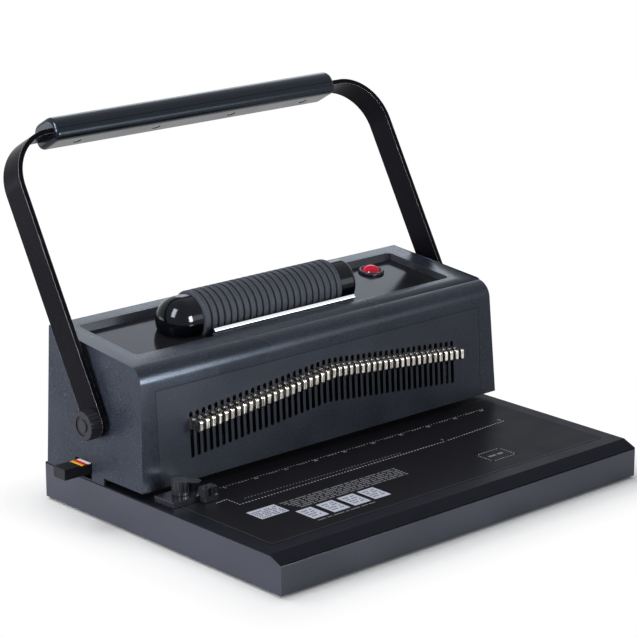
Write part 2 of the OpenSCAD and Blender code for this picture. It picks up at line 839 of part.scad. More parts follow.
// Side frames and their bushes
module side_frame_outline() {
    foot_y = step_y + cut;
    rear = back_y - frame_back;
    rear_h = 30;
    head_front = 12;
    head_rear = 24;
    head_rise = 38;
    head_top = shaft_z + head_rise;
    nose_lead = 9;
    nose = pin_y + nose_lead;
    nose_h = 16;
    polygon([[foot_y, deck_z], [rear, deck_z], [rear, deck_z + rear_h], [shaft_y + head_rear, head_top],
             [shaft_y - head_front, head_top], [nose, guide_top + nose_h], [nose, throat_z],
             [foot_y, throat_z]]);
}
module side_frame(s) {
    flange = 18;
    flange_d = 20;
    room = 4;
    color("#8e9196") on_side(s) {
        difference() {
            along_x(frame_in, frame_out) side_frame_outline();
            rod_x_to(frame_in - cut, frame_out + cut, shaft_y, shaft_z, bush_r + seat_fit);
            if (s < 0) block(
                [frame_in - cut, selector_y - selector_w / 2 - room, deck_z - cut],
                [frame_out + cut, selector_y + selector_w / 2 + room, deck_z + throat_gap + selector_h + room]);
        }
        difference() {
            block([frame_in - flange, back_y - frame_back - flange_d, deck_z],
                  [frame_in, back_y - frame_back, deck_z + frame_t]);
            translate([frame_in - bolt_in, back_y - bolt_back, deck_z - cut])
                cylinder(h = frame_t + 2 * cut, d = bolt_d + 2 * run_fit);
        }
    }
}
module left_side_frame() side_frame(-1);
module right_side_frame() side_frame(1);
module frame_bolts() {
    color("#8b8d90") at_frame_bolts() translate([0, 0, deck_z + frame_t])
        screw(bolt_d, frame_bolt_len, bolt_head_d, bolt_head_h);
}
module shaft_bush(s) {
    proud = 1;
    lip = 2;
    color("#b08d4a") on_side(s) difference() {
        union() {
            rod_x_to(frame_in, frame_out + proud, shaft_y, shaft_z, bush_r);
            rod_x_to(frame_in - bush_flange, frame_in, shaft_y, shaft_z, bush_r + lip);
        }
        rod_x_to(frame_in - bush_flange - cut, frame_out + proud + cut,
                 shaft_y, shaft_z, shaft_d / 2 + run_fit);
    }
}
module left_shaft_bush() shaft_bush(-1);
module right_shaft_bush() shaft_bush(1);

// Guide and die
module at_spacers() for (s = [-1, 1]) for (d = [-1, 1])
    translate([s * (tongue_x + d * spacer_x), spacer_y0 + spacer_d / 2]) children();
module pin_holes(gap) for (i = [0 : pin_count - 1]) translate([pin_x(i), pin_y]) circle(d = pin_d + 2 * gap);
module punch_guide() {
    color("#9a9da3") difference() {
        along_z(throat_z, guide_top) difference() {
            translate([-frame_in, die_y0]) square([2 * frame_in, die_y1 - die_y0]);
            pin_holes(hole_gap);
            at_spacers() circle(d = bolt_d + 2 * run_fit);
        }
        on_both() translate([rod_x, rod_y, guide_top - rod_seat])
            cylinder(h = rod_seat + cut, d = rod_d + 2 * seat_fit);
    }
}
module die_plate() {
    tab = 5;
    color("#9a9da3") difference() {
        union() {
            along_z(deck_z - die_t, deck_z) die_outline(0);
            along_z(deck_z - die_t, shell_under)
                translate([-bar_half - tab, die_y0]) square([2 * (bar_half + tab), die_y1 - die_y0]);
        }
        along_z(deck_z - die_t - cut, deck_z + cut) {
            pin_holes(hole_gap);
            at_spacers() circle(d = bolt_d + 2 * run_fit);
        }
    }
}
module die_spacers() {
    color("#8e9196") along_z(deck_z, throat_z) at_spacers() difference() {
        square([spacer_w, spacer_d], center = true);
        circle(d = bolt_d + 2 * run_fit);
    }
}
module die_bolts() {
    len = guide_top - deck_z + die_t - cut;
    color("#5b5d61") at_spacers() translate([0, 0, guide_top]) screw(bolt_d, len, bolt_head_d, bolt_head_h);
}
module guide_rods() {
    color("#c4c7cb") on_both() translate([rod_x, rod_y, guide_top - rod_seat])
        cylinder(h = deck_z + bar_top + rod_over - guide_top + rod_seat, d = rod_d);
}
// One unbroken wire wound on a steady rise
module coil_spring(r, wire, turns, height) {
    sides = 6;
    rings = 8 * turns;
    rise = (height - wire) / rings;
    lean = atan2(rise * rings / turns, 2 * PI * r);
    points = [
        for (k = [0 : rings]) let (a = 360 * k / 8)
            for (j = [0 : sides - 1])
                let (b = 360 * j / sides, out = r + wire / 2 * cos(b), up = wire / 2 * sin(b))
                [out * cos(a) + up * sin(lean) * sin(a), out * sin(a) - up * sin(lean) * cos(a),
                 wire / 2 + rise * k + up * cos(lean)]
    ];
    walls = [
        for (k = [0 : rings - 1]) for (j = [0 : sides - 1])
            let (n = (j + 1) % sides, p = k * sides, q = p + sides)
                each [[p + j, p + n, q + n], [p + j, q + n, q + j]]
    ];
    last = rings * sides;
    ends = [for (j = [1 : sides - 2]) each [[0, j + 1, j], [last, last + j, last + j + 1]]];
    echo(str("least gap between the turns of a return spring ", rise * 8 * cos(lean) - wire, " mm"));
    polyhedron(points, [for (f = concat(walls, ends)) [f[2], f[1], f[0]]]);
}
module return_springs() {
    color("#b9bcc0") on_both() translate([rod_x, rod_y, guide_top + slide_fit])
        coil_spring(spring_r, wire_d, spring_turns, pocket_top - guide_top - 2 * slide_fit);
}

// Punch bar and what rides on it
module punch_bar() {
    high = deck_z + bar_top;
    eave = hook_top(hold_half) + roof_gap;
    color("#7d8086") difference() {
        along_y(bar_front, rack_back)
            polygon([[-bar_half, end_low], [-hold_half, end_low], [-hold_half, eave],
                     [0, hook_top(0) + roof_gap], [hold_half, eave], [hold_half, end_low],
                     [bar_half, end_low], [bar_half, high], [-bar_half, high]]);
        on_both() translate([rod_x, rod_y, end_low - cut]) {
            cylinder(h = high - end_low + 2 * cut, d = rod_d + 2 * run_fit);
            cylinder(h = pocket_top - end_low + cut, r = pocket_r);
        }
    }
}
module pin_holder() {
    y0 = bar_front;
    y1 = pin_y + hold_back;
    eave = holder_top(hold_half);
    ridge = holder_top(0);
    color("#8e9196") intersection() {
        along_y(y0, y1)
            polygon([[-hold_half, eave], [0, ridge], [hold_half, eave],
                     [hold_half, eave - holder_t], [0, ridge - holder_t], [-hold_half, eave - holder_t]]);
        along_z(deck_z, deck_z + bar_top) difference() {
            translate([-hold_half, y0 - cut]) square([2 * hold_half, y1 - y0 + 2 * cut]);
            pin_holes(seat_fit);
        }
    }
}
module punch_pins() {
    r = pin_d / 2;
    color("#c9ccd1") for (i = [0 : pin_count - 1])
        translate([pin_x(i), pin_y, hook_low(pin_x(i)) - press_gap - pin_len]) rotate_extrude()
            polygon([[0, 0], [r, 0], [r, pin_len - head_h], [head_d / 2, pin_len - head_h],
                     [head_d / 2, pin_len], [0, pin_len]]);
}
module pull_hooks() {
    scoop_r = 6;
    scoop = 1.1;
    lip = 3;
    corner = 1.6;
    tail = 5;
    color("#d8d6d2") for (i = [0 : pin_count - 1]) {
        top = hook_top(pin_x(i));
        low = hook_low(pin_x(i));
        tip = front_at((top + low) / 2) - hook_out;
        along_x(pin_x(i) - hook_t / 2, pin_x(i) + hook_t / 2) difference() {
            union() {
                translate([tip + corner, low]) square([pin_y + tail - tip - corner, hook_h]);
                translate([tip, low + corner]) square([2 * corner, hook_h - 2 * corner]);
                for (z = [low + corner, top - corner]) translate([tip + corner, z]) circle(r = corner);
            }
            translate([tip + lip + sqrt(scoop_r ^ 2 - (scoop_r - scoop) ^ 2), top - scoop + scoop_r])
                circle(r = scoop_r);
        }
    }
}
module rack(s) {
    first = -2;
    last = 6;
    half = tooth_pitch / 4 - tooth_play / 4;
    slope = tan(pressure_angle);
    root = rack_y - 1.25 * gear_module;
    tip = rack_y + gear_module;
    teeth = [
        for (k = [first : last]) let (z = shaft_z + (k + 0.5) * tooth_pitch)
            each [[root, z - half - 1.25 * gear_module * slope], [tip, z - half + gear_module * slope],
                  [tip, z + half - gear_module * slope], [root, z + half + 1.25 * gear_module * slope]]
    ];
    low = shaft_z + first * tooth_pitch;
    high = shaft_z + (last + 1) * tooth_pitch;
    color("#6d7076") on_side(s) along_x(rack_x, rack_x + rack_w)
        polygon(concat([[rack_back, low], [root, low]], teeth, [[root, high], [rack_back, high]]));
}
module left_rack() rack(-1);
module right_rack() rack(1);

// Shaft, pinions and handle
module in_handle() translate([0, shaft_y, shaft_z]) rotate([-handle_lean, 0, 0]) children();
module key_outline(grow) intersection() {
    circle(r = key_r + grow);
    square([key_w + 2 * grow, 3 * key_r], center = true);
}
module drive_shaft() {
    color("#b4b7bc") in_handle() difference() {
        union() {
            rod_x_to(-strap_in, strap_in, 0, 0, shaft_d / 2);
            on_both() along_x(strap_in - cut, strap_out - key_short) key_outline(0);
        }
        on_both() rod_x_to(strap_out - stud_len - cut, strap_out + cut, 0, 0, stud_r + run_fit);
    }
}
module drive_gear(s) {
    color("#85888e") on_side(s) along_x(gear_x, gear_x + gear_w) translate([shaft_y, shaft_z]) difference() {
        gear_outline(gear_module, gear_teeth);
        circle(r = shaft_d / 2 + seat_fit);
    }
}
module left_drive_gear() drive_gear(-1);
module right_drive_gear() drive_gear(1);
module shaft_collars() {
    color("#2a2b2f") on_both() along_x(strap_in - collar_t, strap_in)
        translate([shaft_y, shaft_z]) difference() {
            circle(r = shaft_d / 2 + collar_wall);
            circle(r = shaft_d / 2 + seat_fit);
        }
}
// Strap outline in the plane of the handle, from the pivot up, grown by a clearance
module strap_outline(grow) {
    for (s = [-1, 1]) {
        translate([s * (strap_in + strap_t / 2) - strap_t / 2 - grow, 0]) square([strap_t + 2 * grow, bend_u]);
        intersection() {
            translate([s * bend_x, bend_u]) difference() {
                circle(r = bend_r + grow);
                circle(r = bend_r - strap_t - grow);
            }
            translate([s > 0 ? bend_x : -strap_out - cut, bend_u]) square([bend_r + cut, bend_r + cut]);
        }
    }
    translate([-bend_x, handle_len - strap_t / 2 - grow]) square([2 * bend_x, strap_t + 2 * grow]);
}
module at_grip_screws() for (k = [-1.5 : 1.5])
    translate([grip_shift + k * grip_screw_pitch, 0, handle_len]) children();
module handle_strap() {
    color("#16171a") in_handle() difference() {
        union() {
            along_y(-strap_w / 2, strap_w / 2) strap_outline(0);
            on_both() rod_x_to(strap_in, strap_out, 0, 0, strap_w / 2);
        }
        on_both() along_x(strap_in - cut, strap_out + cut) key_outline(run_fit);
        at_grip_screws() translate([0, 0, -strap_t])
            cylinder(h = 2 * strap_t, d = grip_screw_d + 2 * slide_fit);
    }
}
// Section of the grip across the handle, drawn in by the rounding of the ends
module grip_section(inset) {
    hull() for (s = [-1, 1]) {
        translate([s * (grip_w / 2 - grip_top_r), grip_above - grip_top_r])
            circle(r = grip_top_r - inset, $fn = 32);
        translate([s * (grip_w / 2 - grip_low_r), grip_low_r - grip_below])
            circle(r = grip_low_r - inset, $fn = 32);
    }
}
// One half of the grip, above the split or below it
module grip_half(up) {
    steps = 4;
    module slice(half, inset) along_x(-half, half) intersection() {
        grip_section(inset);
        translate([-grip_w, up > 0 ? grip_seam : -grip_w - grip_seam]) square([2 * grip_w, grip_w]);
    }
    in_handle() difference() {
        translate([grip_shift, 0, handle_len]) hull() for (k = [0 : steps]) let (a = 90 * k / steps)
            slice(grip_len / 2 - grip_round * (1 - sin(a)), grip_round * (1 - cos(a)));
        along_y(-strap_w / 2 - slide_fit, strap_w / 2 + slide_fit) strap_outline(grip_seam);
        at_grip_screws() translate([0, 0, -grip_below - cut]) {
            cylinder(h = grip_below + grip_above - grip_skin + cut, d = grip_screw_d + 2 * run_fit);
            cylinder(h = cut + grip_head_sink, d = grip_head_d + 2 * slide_fit);
        }
    }
}
module grip_upper() color("#20232c") grip_half(1);
module grip_lower() color("#20232c") grip_half(-1);
module grip_screws() {
    spare = 1;
    len = grip_below + grip_above - grip_head_sink - grip_skin - spare;
    color("#3b3d42") in_handle() at_grip_screws() translate([0, 0, grip_head_sink - grip_below])
        rotate([180, 0, 0]) screw(grip_screw_d, len, grip_head_d, grip_head_h);
}
// Fluted outline of a knob
module fluted_outline(d, count) difference() {
    circle(d = d);
    for (k = [0 : count - 1]) rotate(k * 360 / count) translate([d / 2 + d / 60, 0])
        circle(d = d * PI / count / 2, $fn = 24);
}
module handle_knob(s) {
    inner = strap_out + slide_fit;
    outer = inner + knob_len;
    rim = 4;
    dish_w = 3;
    dish = 1.2;
    dish_r = knob_d / 2 - rim;
    color("#2c2e33") on_side(s) in_handle() {
        difference() {
            along_x(inner, outer) fluted_outline(knob_d, knob_flutes);
            along_x(outer - dish, outer + cut) difference() {
                circle(r = dish_r);
                circle(r = dish_r - dish_w);
            }
        }
        rod_x_to(strap_out - stud_len, inner + cut, 0, 0, stud_r);
    }
}
module left_knob() handle_knob(-1);
module right_knob() handle_knob(1);

// Coil inserter
// Turned cap along +X whose far end is rounded, at most to a half ball
module bullet(len, r, round_r) {
    rotate([90, 0, 90]) rotate_extrude() {
        if (round_r < r) square([r - round_r, len]);
        square([r, len - round_r]);
        translate([r - round_r, len - round_r]) intersection() {
            circle(r = round_r);
            square(2 * round_r);
        }
    }
}
module above_floor() on_top() along_z(-recess_depth, far / 6) translate([-far / 2, -far / 2]) square(far);
module left_end_cap() {
    inner = roller_l - cap_gap;
    color("#121316") difference() {
        intersection() {
            translate([inner, roller_y, roller_z]) mirror([1, 0, 0]) bullet(cap_len, cap_r, cap_r);
            above_floor();
        }
        rod_x_to(inner - bearing_w - cut, inner + cut, roller_y, roller_z, bearing_r + seat_fit);
    }
}
module right_end_cap() {
    inner = roller_r_end + cap_gap;
    hollow = drive_gear_x + drive_gear_w + cut;
    color("#121316") difference() {
        intersection() {
            translate([inner, roller_y, roller_z]) bullet(collar_len, cap_r, collar_round);
            above_floor();
        }
        rod_x_to(inner - cut, hollow, roller_y, roller_z, cap_r - cap_wall);
        rod_x_to(hollow - cut, hollow + bearing_w, roller_y, roller_z, bearing_r + seat_fit);
    }
}
module roller_bearings() {
    left = roller_l - cap_gap - bearing_w - cut;
    right = drive_gear_x + drive_gear_w + cut;
    color("#c9ccd1") for (x = [left, right]) difference() {
        rod_x_to(x, x + bearing_w, roller_y, roller_z, bearing_r);
        rod_x_to(x - cut, x + bearing_w + cut, roller_y, roller_z, axle_r + run_fit);
    }
}
module roller_core() {
    left = roller_l - cap_gap - bearing_w;
    short = 0.5;
    right = drive_gear_x + drive_gear_w + cut + bearing_w - short;
    color("#6b6e73") translate([0, roller_y, roller_z]) rotate([90, 0, 90]) rotate_extrude()
        polygon([[0, left], [axle_r, left], [axle_r, roller_l], [core_r, roller_l],
                 [core_r, roller_r_end], [axle_r, roller_r_end], [axle_r, right], [0, right]]);
}
module roller_sleeve() {
    pitch = roller_len / rib_count;
    rib = pitch - rib_gap;
    soft = 0.9;
    low = roller_r - rib_depth;
    profile = [
        for (k = [0 : rib_count - 1]) let (a = roller_l + rib_gap / 2 + k * pitch, b = a + rib)
            each [[low, a], [roller_r - soft, a], [roller_r - soft / 4, a + soft / 3], [roller_r, a + soft],
                  [roller_r, b - soft], [roller_r - soft / 4, b - soft / 3], [roller_r - soft, b], [low, b]]
    ];
    color("#47484c") translate([0, roller_y, roller_z]) rotate([90, 0, 90]) rotate_extrude()
        polygon(concat([[core_r + seat_fit, roller_l], [low, roller_l]], profile,
                       [[low, roller_r_end], [core_r + seat_fit, roller_r_end]]));
}
// A gear pair of equal wheels: the roller's has a tooth pointing down, the motor's a gap pointing up
module roller_gear() {
    color("#d9d6cc") along_x(drive_gear_x, drive_gear_x + drive_gear_w)
        translate([roller_y, roller_z]) difference() {
            rotate(-90) gear_outline(drive_gear_module, drive_gear_teeth);
            circle(r = axle_r + seat_fit);
        }
}
module motor_gear() {
    color("#d9d6cc") {
        along_x(drive_gear_x, drive_gear_x + drive_gear_w) translate([roller_y, motor_z])
            rotate(90 + 180 / drive_gear_teeth) gear_outline(drive_gear_module, drive_gear_teeth);
        rod_x_to(drive_gear_x, motor_x + motor_plate_t + motor_tail, roller_y, motor_z, motor_shaft_r);
    }
}
module inserter_motor() {
    ear = 17;
    front = motor_x + motor_plate_t;
    color("#7c7f84") difference() {
        union() {
            rod_x_to(front, front + motor_len, roller_y, motor_z, motor_r);
            intersection() {
                block([motor_x, roller_y - ear, motor_z - motor_r], [front, roller_y + ear, roller_z]);
                on_top() along_z(-far / 2, -liner_under) translate([-far / 2, -far / 2]) square(far);
            }
        }
        rod_x_to(motor_x - cut, front + motor_tail + 2 * cut, roller_y, motor_z, motor_shaft_r + run_fit);
    }
}
module coil_rail() {
    back = rail_y + rail_t;
    bead_z = rail_top - bead_r;
    color("#dfe2e6") along_x(rail_shift - roller_x - rail_len / 2, rail_shift - roller_x + rail_len / 2) {
        polygon([[rail_y, floor_at(rail_y) + seat_fit], [back, floor_at(back) + seat_fit],
                 [back, bead_z], [rail_y, bead_z]]);
        slot_outline([back - bead_r, bead_z], [back - rail_lip + bead_r, bead_z - bead_fall], 2 * bead_r);
    }
}

// Depth selector and depth stop
module selector_guide() {
    frame_room = 0.5;
    tongue_room = 2.5;
    wall = 4;
    x0 = -frame_in + frame_room;
    x1 = -tongue_x - tongue_w / 2 - tongue_room;
    y0 = selector_y - selector_w / 2;
    y1 = selector_y + selector_w / 2;
    color("#2c2e33") difference() {
        block([x0, y0 - wall, deck_z], [x1, y1 + wall, selector_z + selector_h + wall]);
        block([x0 - cut, y0 - slide_fit, selector_z - slide_fit],
              [x1 + cut, y1 + slide_fit, selector_z + selector_h + slide_fit]);
    }
}
module selector_slide() {
    y0 = selector_y - selector_w / 2;
    color("#1b1c1f") {
        block([selector_l, y0, selector_z],
              [selector_l + selector_len, y0 + selector_w, selector_z + selector_h]);
        translate([peg_x, selector_y, stop_z + peg_gap]) cylinder(h = selector_z - stop_z + cut, r = peg_r);
    }
}
module depth_stop() {
    gap = peg_r + slide_fit;
    web = 4;
    overlap = 6;
    rear = selector_y + stop_travel + gap + web;
    short = spacer_y0 + spacer_d + overlap;
    color("#55585d") along_z(stop_z, stop_z + stop_t) difference() {
        union() {
            translate([-tongue_x - tongue_w / 2, stop_y]) square([2 * tongue_x + tongue_w, stop_d]);
            translate([-tongue_x - tongue_w / 2, stop_y]) square([tongue_w, rear - stop_y]);
            translate([tongue_x - tongue_w / 2, stop_y]) square([tongue_w, short - stop_y]);
        }
        slot_outline([peg_x, selector_y], [peg_x + selector_travel, selector_y + stop_travel], 2 * gap);
    }
}

// Edge guide on the deck
module edge_guide() {
    post_w = 13;
    post_d = 7;
    post_r = 2.4;
    post_root = 2;
    post_step = 1;
    boss_r = 5.5;
    boss_h = 6.5;
    boss_in = 6.5;
    boss_back = 8;
    front = edge_y - edge_d;
    right = edge_x + edge_w;
    left = right - post_w;
    color("#26272b") difference() {
        union() {
            along_z(edge_z, edge_z + edge_t) {
                translate([edge_x, front]) square([edge_w, edge_d]);
                translate([left, front - post_d]) square([post_w, post_d + cut]);
            }
            along_z(edge_z, edge_z + post_h) translate([left, front - post_d]) {
                translate([0, post_r]) square([post_w, post_d - post_r + post_root]);
                for (k = [0 : 1]) translate([post_r + k * 2 * post_r, post_r]) circle(r = post_r);
                translate([4 * post_r, post_step]) square([post_w - 4 * post_r, post_d]);
            }
            translate([right - boss_in, edge_y - boss_back, edge_z]) cylinder(h = edge_t + boss_h, r = boss_r);
        }
        translate([clamp_x, track_y, edge_z - cut]) cylinder(h = edge_t + 2 * cut, r = clamp_stud_r + run_fit);
    }
}
module edge_guide_nut() {
    low = shell_under - slide_fit - nut_t;
    color("#8b8d90") translate([clamp_x, track_y, low]) difference() {
        linear_extrude(nut_t) square(nut_w, center = true);
        translate([0, 0, -cut]) cylinder(h = nut_t + 2 * cut, r = clamp_stud_r + run_fit);
    }
}
module edge_guide_knob() {
    low = shell_under - slide_fit - nut_t - 1;
    base = edge_z + edge_t + slide_fit;
    color("#2c2e33") translate([clamp_x, track_y, 0]) {
        along_z(base, base + clamp_h) fluted_outline(clamp_d, clamp_flutes);
        translate([0, 0, low]) cylinder(h = base - low + cut, r = clamp_stud_r);
    }
}

base_shell();
deck_cover();
tray_panel();
base_plate();
rubber_feet();
base_screws();
housing_shell();
front_panel();
rear_cover();
rear_screws();
recess_liner();
left_side_frame();
right_side_frame();
frame_bolts();
left_shaft_bush();
right_shaft_bush();
punch_guide();
die_plate();
die_spacers();
die_bolts();
guide_rods();
return_springs();
selector_guide();
left_end_cap();
right_end_cap();
roller_bearings();
inserter_motor();
coil_rail();
button_bezel();
button_switch();
power_inlet();
drive_shaft();
left_drive_gear();
right_drive_gear();
shaft_collars();
handle_strap();
grip_upper();
grip_lower();
grip_screws();
left_knob();
right_knob();
punch_bar();
pin_holder();
punch_pins();
pull_hooks();
left_rack();
right_rack();
selector_slide();
depth_stop();
edge_guide();
edge_guide_nut();
edge_guide_knob();
chip_drawer();
roller_core();
roller_sleeve();
roller_gear();
motor_gear();
button_cap();
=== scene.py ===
import json
import math

import bpy
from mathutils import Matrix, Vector


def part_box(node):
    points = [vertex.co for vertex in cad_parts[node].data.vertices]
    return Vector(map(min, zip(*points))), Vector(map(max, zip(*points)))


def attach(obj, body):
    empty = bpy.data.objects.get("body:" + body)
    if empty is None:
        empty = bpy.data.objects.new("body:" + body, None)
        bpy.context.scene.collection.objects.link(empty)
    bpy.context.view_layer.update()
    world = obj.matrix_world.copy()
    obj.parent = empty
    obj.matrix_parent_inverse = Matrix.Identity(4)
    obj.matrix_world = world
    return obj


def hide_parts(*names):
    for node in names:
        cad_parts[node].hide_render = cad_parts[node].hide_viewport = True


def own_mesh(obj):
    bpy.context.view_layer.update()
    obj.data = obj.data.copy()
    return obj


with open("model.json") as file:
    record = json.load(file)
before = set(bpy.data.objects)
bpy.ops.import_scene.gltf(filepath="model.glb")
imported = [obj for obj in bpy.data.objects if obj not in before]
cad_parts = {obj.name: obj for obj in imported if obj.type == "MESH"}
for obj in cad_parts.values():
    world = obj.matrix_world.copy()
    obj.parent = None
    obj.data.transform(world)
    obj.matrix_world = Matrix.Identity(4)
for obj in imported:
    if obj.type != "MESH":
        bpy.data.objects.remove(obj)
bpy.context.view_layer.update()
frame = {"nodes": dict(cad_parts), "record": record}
nodes = frame["nodes"]
mm = 0.001
print("frame loaded:", len(nodes), "nodes")


# selection helpers
def deselectAll():
    if bpy.context.mode != "OBJECT":
        bpy.ops.object.mode_set(mode="OBJECT")
    bpy.ops.object.select_all(action="DESELECT")


def pick(piece):
    deselectAll()
    piece.select_set(True)
    bpy.context.view_layer.objects.active = piece


def applyAll(piece):
    pick(piece)
    for step in list(piece.modifiers):
        bpy.ops.object.modifier_apply(modifier=step.name)


def settle(piece):
    pick(piece)
    bpy.ops.object.transform_apply(location=True, rotation=True, scale=True)


def joinPieces(pieces, name):
    deselectAll()
    for piece in pieces:
        piece.select_set(True)
    bpy.context.view_layer.objects.active = pieces[0]
    bpy.ops.object.join()
    pieces[0].name = name
    return pieces[0]


# node helpers: an input takes another node's output or a plain value
def feedAll(tree, node, values):
    for key, value in values.items():
        if isinstance(value, bpy.types.NodeSocket):
            tree.links.new(value, node.inputs[key])
        else:
            node.inputs[key].default_value = value


def addNode(tree, kind, values, **setup):
    node = tree.nodes.new(kind)
    for key, value in setup.items():
        setattr(node, key, value)
    feedAll(tree, node, values)
    return node


def mathStep(tree, operation, *values):
    return addNode(tree, "ShaderNodeMath", dict(enumerate(values)), operation=operation).outputs[0]


def mapTo(tree, value, lowIn, highIn, lowOut=0.0, highOut=1.0):
    step = addNode(tree, "ShaderNodeMapRange", {"Value": value, "From Min": lowIn, "From Max": highIn,
                                                "To Min": lowOut, "To Max": highOut})
    return step.outputs["Result"]


def mixColour(tree, fac, a, b):
    # inputs 6 and 7 and output 2 are the node's colour sockets
    return addNode(tree, "ShaderNodeMix", {0: fac, 6: a, 7: b}, data_type="RGBA").outputs[2]


def mixShaders(tree, fac, a, b):
    return addNode(tree, "ShaderNodeMixShader", {0: fac, 1: a, 2: b}).outputs[0]


def noiseAt(tree, vector, scale, detail):
    noise = addNode(tree, "ShaderNodeTexNoise", {"Vector": vector, "Scale": scale, "Detail": detail})
    return noise.outputs["Fac"]


def objectPlace(tree):
    coords = tree.nodes.new("ShaderNodeTexCoord")
    return addNode(tree, "ShaderNodeSeparateXYZ", {0: coords.outputs["Object"]}).outputs


def rgba(colour):
    return (*colour, 1.0)


# stage, lamps and camera
stageLook = dict(floorSize=9.0, floorDrop=0.0003, floorColour=(0.86, 0.86, 0.87),
                 floorSeen=(0.64, 0.64, 0.642), floorGlow=0.05, halo=0.055,
                 airColour=(0.95, 0.97, 1.0), airStrength=0.5)
cameraLook = dict(azimuth=-42.19, elevation=16.11, distance=1.96094, target=(-0.04409, -0.01812, 0.15573),
                  lens=141.72, sensor=36.0, clipEnd=50)
lampLooks = [
    dict(name="browSoftbox", place=(0.06, -0.44, 0.24), aim=(-0.2, 0.03, 0.125), size=(0.17, 0.22),
         power=9.8, seenBy="gloss"),
    dict(name="browFill", place=(0.40, -0.53, 0.25), aim=(-0.05, 0.03, 0.125), size=(0.4, 0.24),
         power=1.2, seenBy="gloss"),
    dict(name="leftBox", place=(-0.731, -0.106, 0.781), aim=(-0.11, 0.08, 0.15), size=(0.28, 0.65),
         power=22, seenBy="gloss"),
    dict(name="lowLeftBox", place=(-1.15, 1.10, 0.12), aim=(-0.19, 0.05, 0.08), size=(0.8, 0.28),
         power=4, seenBy="gloss"),
    dict(name="rimBox", place=(1.29, 1.336, 0.95), aim=(0, 0.05, 0.14), size=(1.0, 0.6),
         power=4.6, seenBy="gloss", tone=(0.76, 0.86, 1.0)),
    dict(name="leftSoftbox", place=(-1.8, 0.1, 0.28), aim=(-0.1, 0.05, 0.1), size=(0.7, 0.4),
         power=36, seenBy="matt"),
    dict(name="backSoftbox", place=(-0.6, 1.2, 1.4), aim=(0, -0.05, 0), size=(1.0, 0.7),
         power=16, seenBy="matt"),
    dict(name="topSoftbox", place=(0.2, 0.3, 1.9), aim=(0, 0, 0.1), size=(1.1, 0.7),
         power=15, seenBy="matt"),
]


def rayMask(tree):
    # camera, glossy and transmission rays all see the pale background
    rays = tree.nodes.new("ShaderNodeLightPath").outputs
    seen = mathStep(tree, "MAXIMUM", rays["Is Camera Ray"], rays["Is Glossy Ray"])
    return mathStep(tree, "MAXIMUM", seen, rays["Is Transmission Ray"])


def buildFloor(look):
    deselectAll()
    bpy.ops.mesh.primitive_plane_add(size=look["floorSize"], location=(0, 0, -look["floorDrop"]))
    floor = bpy.context.active_object
    floor.name = "studioFloor"
    settle(floor)
    mat = bpy.data.materials.new("studioFloorPale")
    mat.use_nodes = True
    tree = mat.node_tree
    tree.nodes.clear()
    lit = addNode(tree, "ShaderNodeBsdfDiffuse", {"Color": rgba(look["floorColour"])})
    dim = addNode(tree, "ShaderNodeBsdfDiffuse", {"Color": rgba(look["floorSeen"])})
    glow = addNode(tree, "ShaderNodeEmission", {"Strength": look["floorGlow"]})
    near = addNode(tree, "ShaderNodeAddShader", {0: dim.outputs[0], 1: glow.outputs[0]})
    white = tree.nodes.new("ShaderNodeEmission")
    reach = tree.nodes.new("ShaderNodeTexCoord").outputs["Object"]
    halfX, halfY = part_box("base_shell")[1][:2]
    for way, value in (("ABSOLUTE", (0, 0, 0)), ("SUBTRACT", (halfX, halfY, 0)), ("MAXIMUM", (0, 0, 0))):
        step = addNode(tree, "ShaderNodeVectorMath", {0: reach, 1: value}, operation=way)
        reach = step.outputs["Vector"]
    away = addNode(tree, "ShaderNodeVectorMath", {0: reach}, operation="LENGTH").outputs["Value"]
    fade = mapTo(tree, away, 0.0, look["halo"])
    # a little way off the base the floor runs out into plain white
    seen = mixShaders(tree, fade, near.outputs[0], white.outputs[0])
    mix = mixShaders(tree, rayMask(tree), lit.outputs[0], seen)
    addNode(tree, "ShaderNodeOutputMaterial", {"Surface": mix})
    floor.data.materials.append(mat)
    print("floor laid")


def buildAir(look):
    world = bpy.data.worlds.new("studioAir")
    bpy.context.scene.world = world
    world.use_nodes = True
    tree = world.node_tree
    tree.nodes.clear()
    soft = addNode(tree, "ShaderNodeBackground", {"Color": rgba(look["airColour"]),
                                                  "Strength": look["airStrength"]})
    white = addNode(tree, "ShaderNodeBackground", {"Color": (1, 1, 1, 1), "Strength": 1.0})
    mix = mixShaders(tree, rayMask(tree), soft.outputs[0], white.outputs[0])
    addNode(tree, "ShaderNodeOutputWorld", {"Surface": mix})
    print("air set")


def buildLamps(looks):
    for look in looks:
        deselectAll()
        bpy.ops.object.light_add(type="AREA", location=look["place"])
        lamp = bpy.context.active_object
        lamp.name = look["name"]
        lamp.data.shape = "RECTANGLE"
        lamp.data.size, lamp.data.size_y = look["size"]
        lamp.data.energy = look["power"]
        lamp.data.color = look.get("tone", (1, 1, 1))
        lamp.visible_diffuse = look["seenBy"] == "matt"
        lamp.visible_glossy = look["seenBy"] == "gloss"
        lamp.visible_camera = False
        way = Vector(look["aim"]) - Vector(look["place"])
        lamp.rotation_euler = way.to_track_quat("-Z", "Y").to_euler()
    print("lamps placed:", len(looks))


def buildCamera(look):
    a, e = math.radians(look["azimuth"]), math.radians(look["elevation"])
    back = Vector((math.sin(a) * math.cos(e), -math.cos(a) * math.cos(e), math.sin(e)))
    place = Vector(look["target"]) + back * look["distance"]
    bpy.ops.object.camera_add(location=place)
    camera = bpy.context.active_object
    camera.name = "photoCamera"
    camera.rotation_euler = (-back).to_track_quat("-Z", "Y").to_euler()
    camera.data.lens = look["lens"]
    camera.data.sensor_width = look["sensor"]
    camera.data.clip_end = look["clipEnd"]
    bpy.context.scene.camera = camera
    print("camera set")


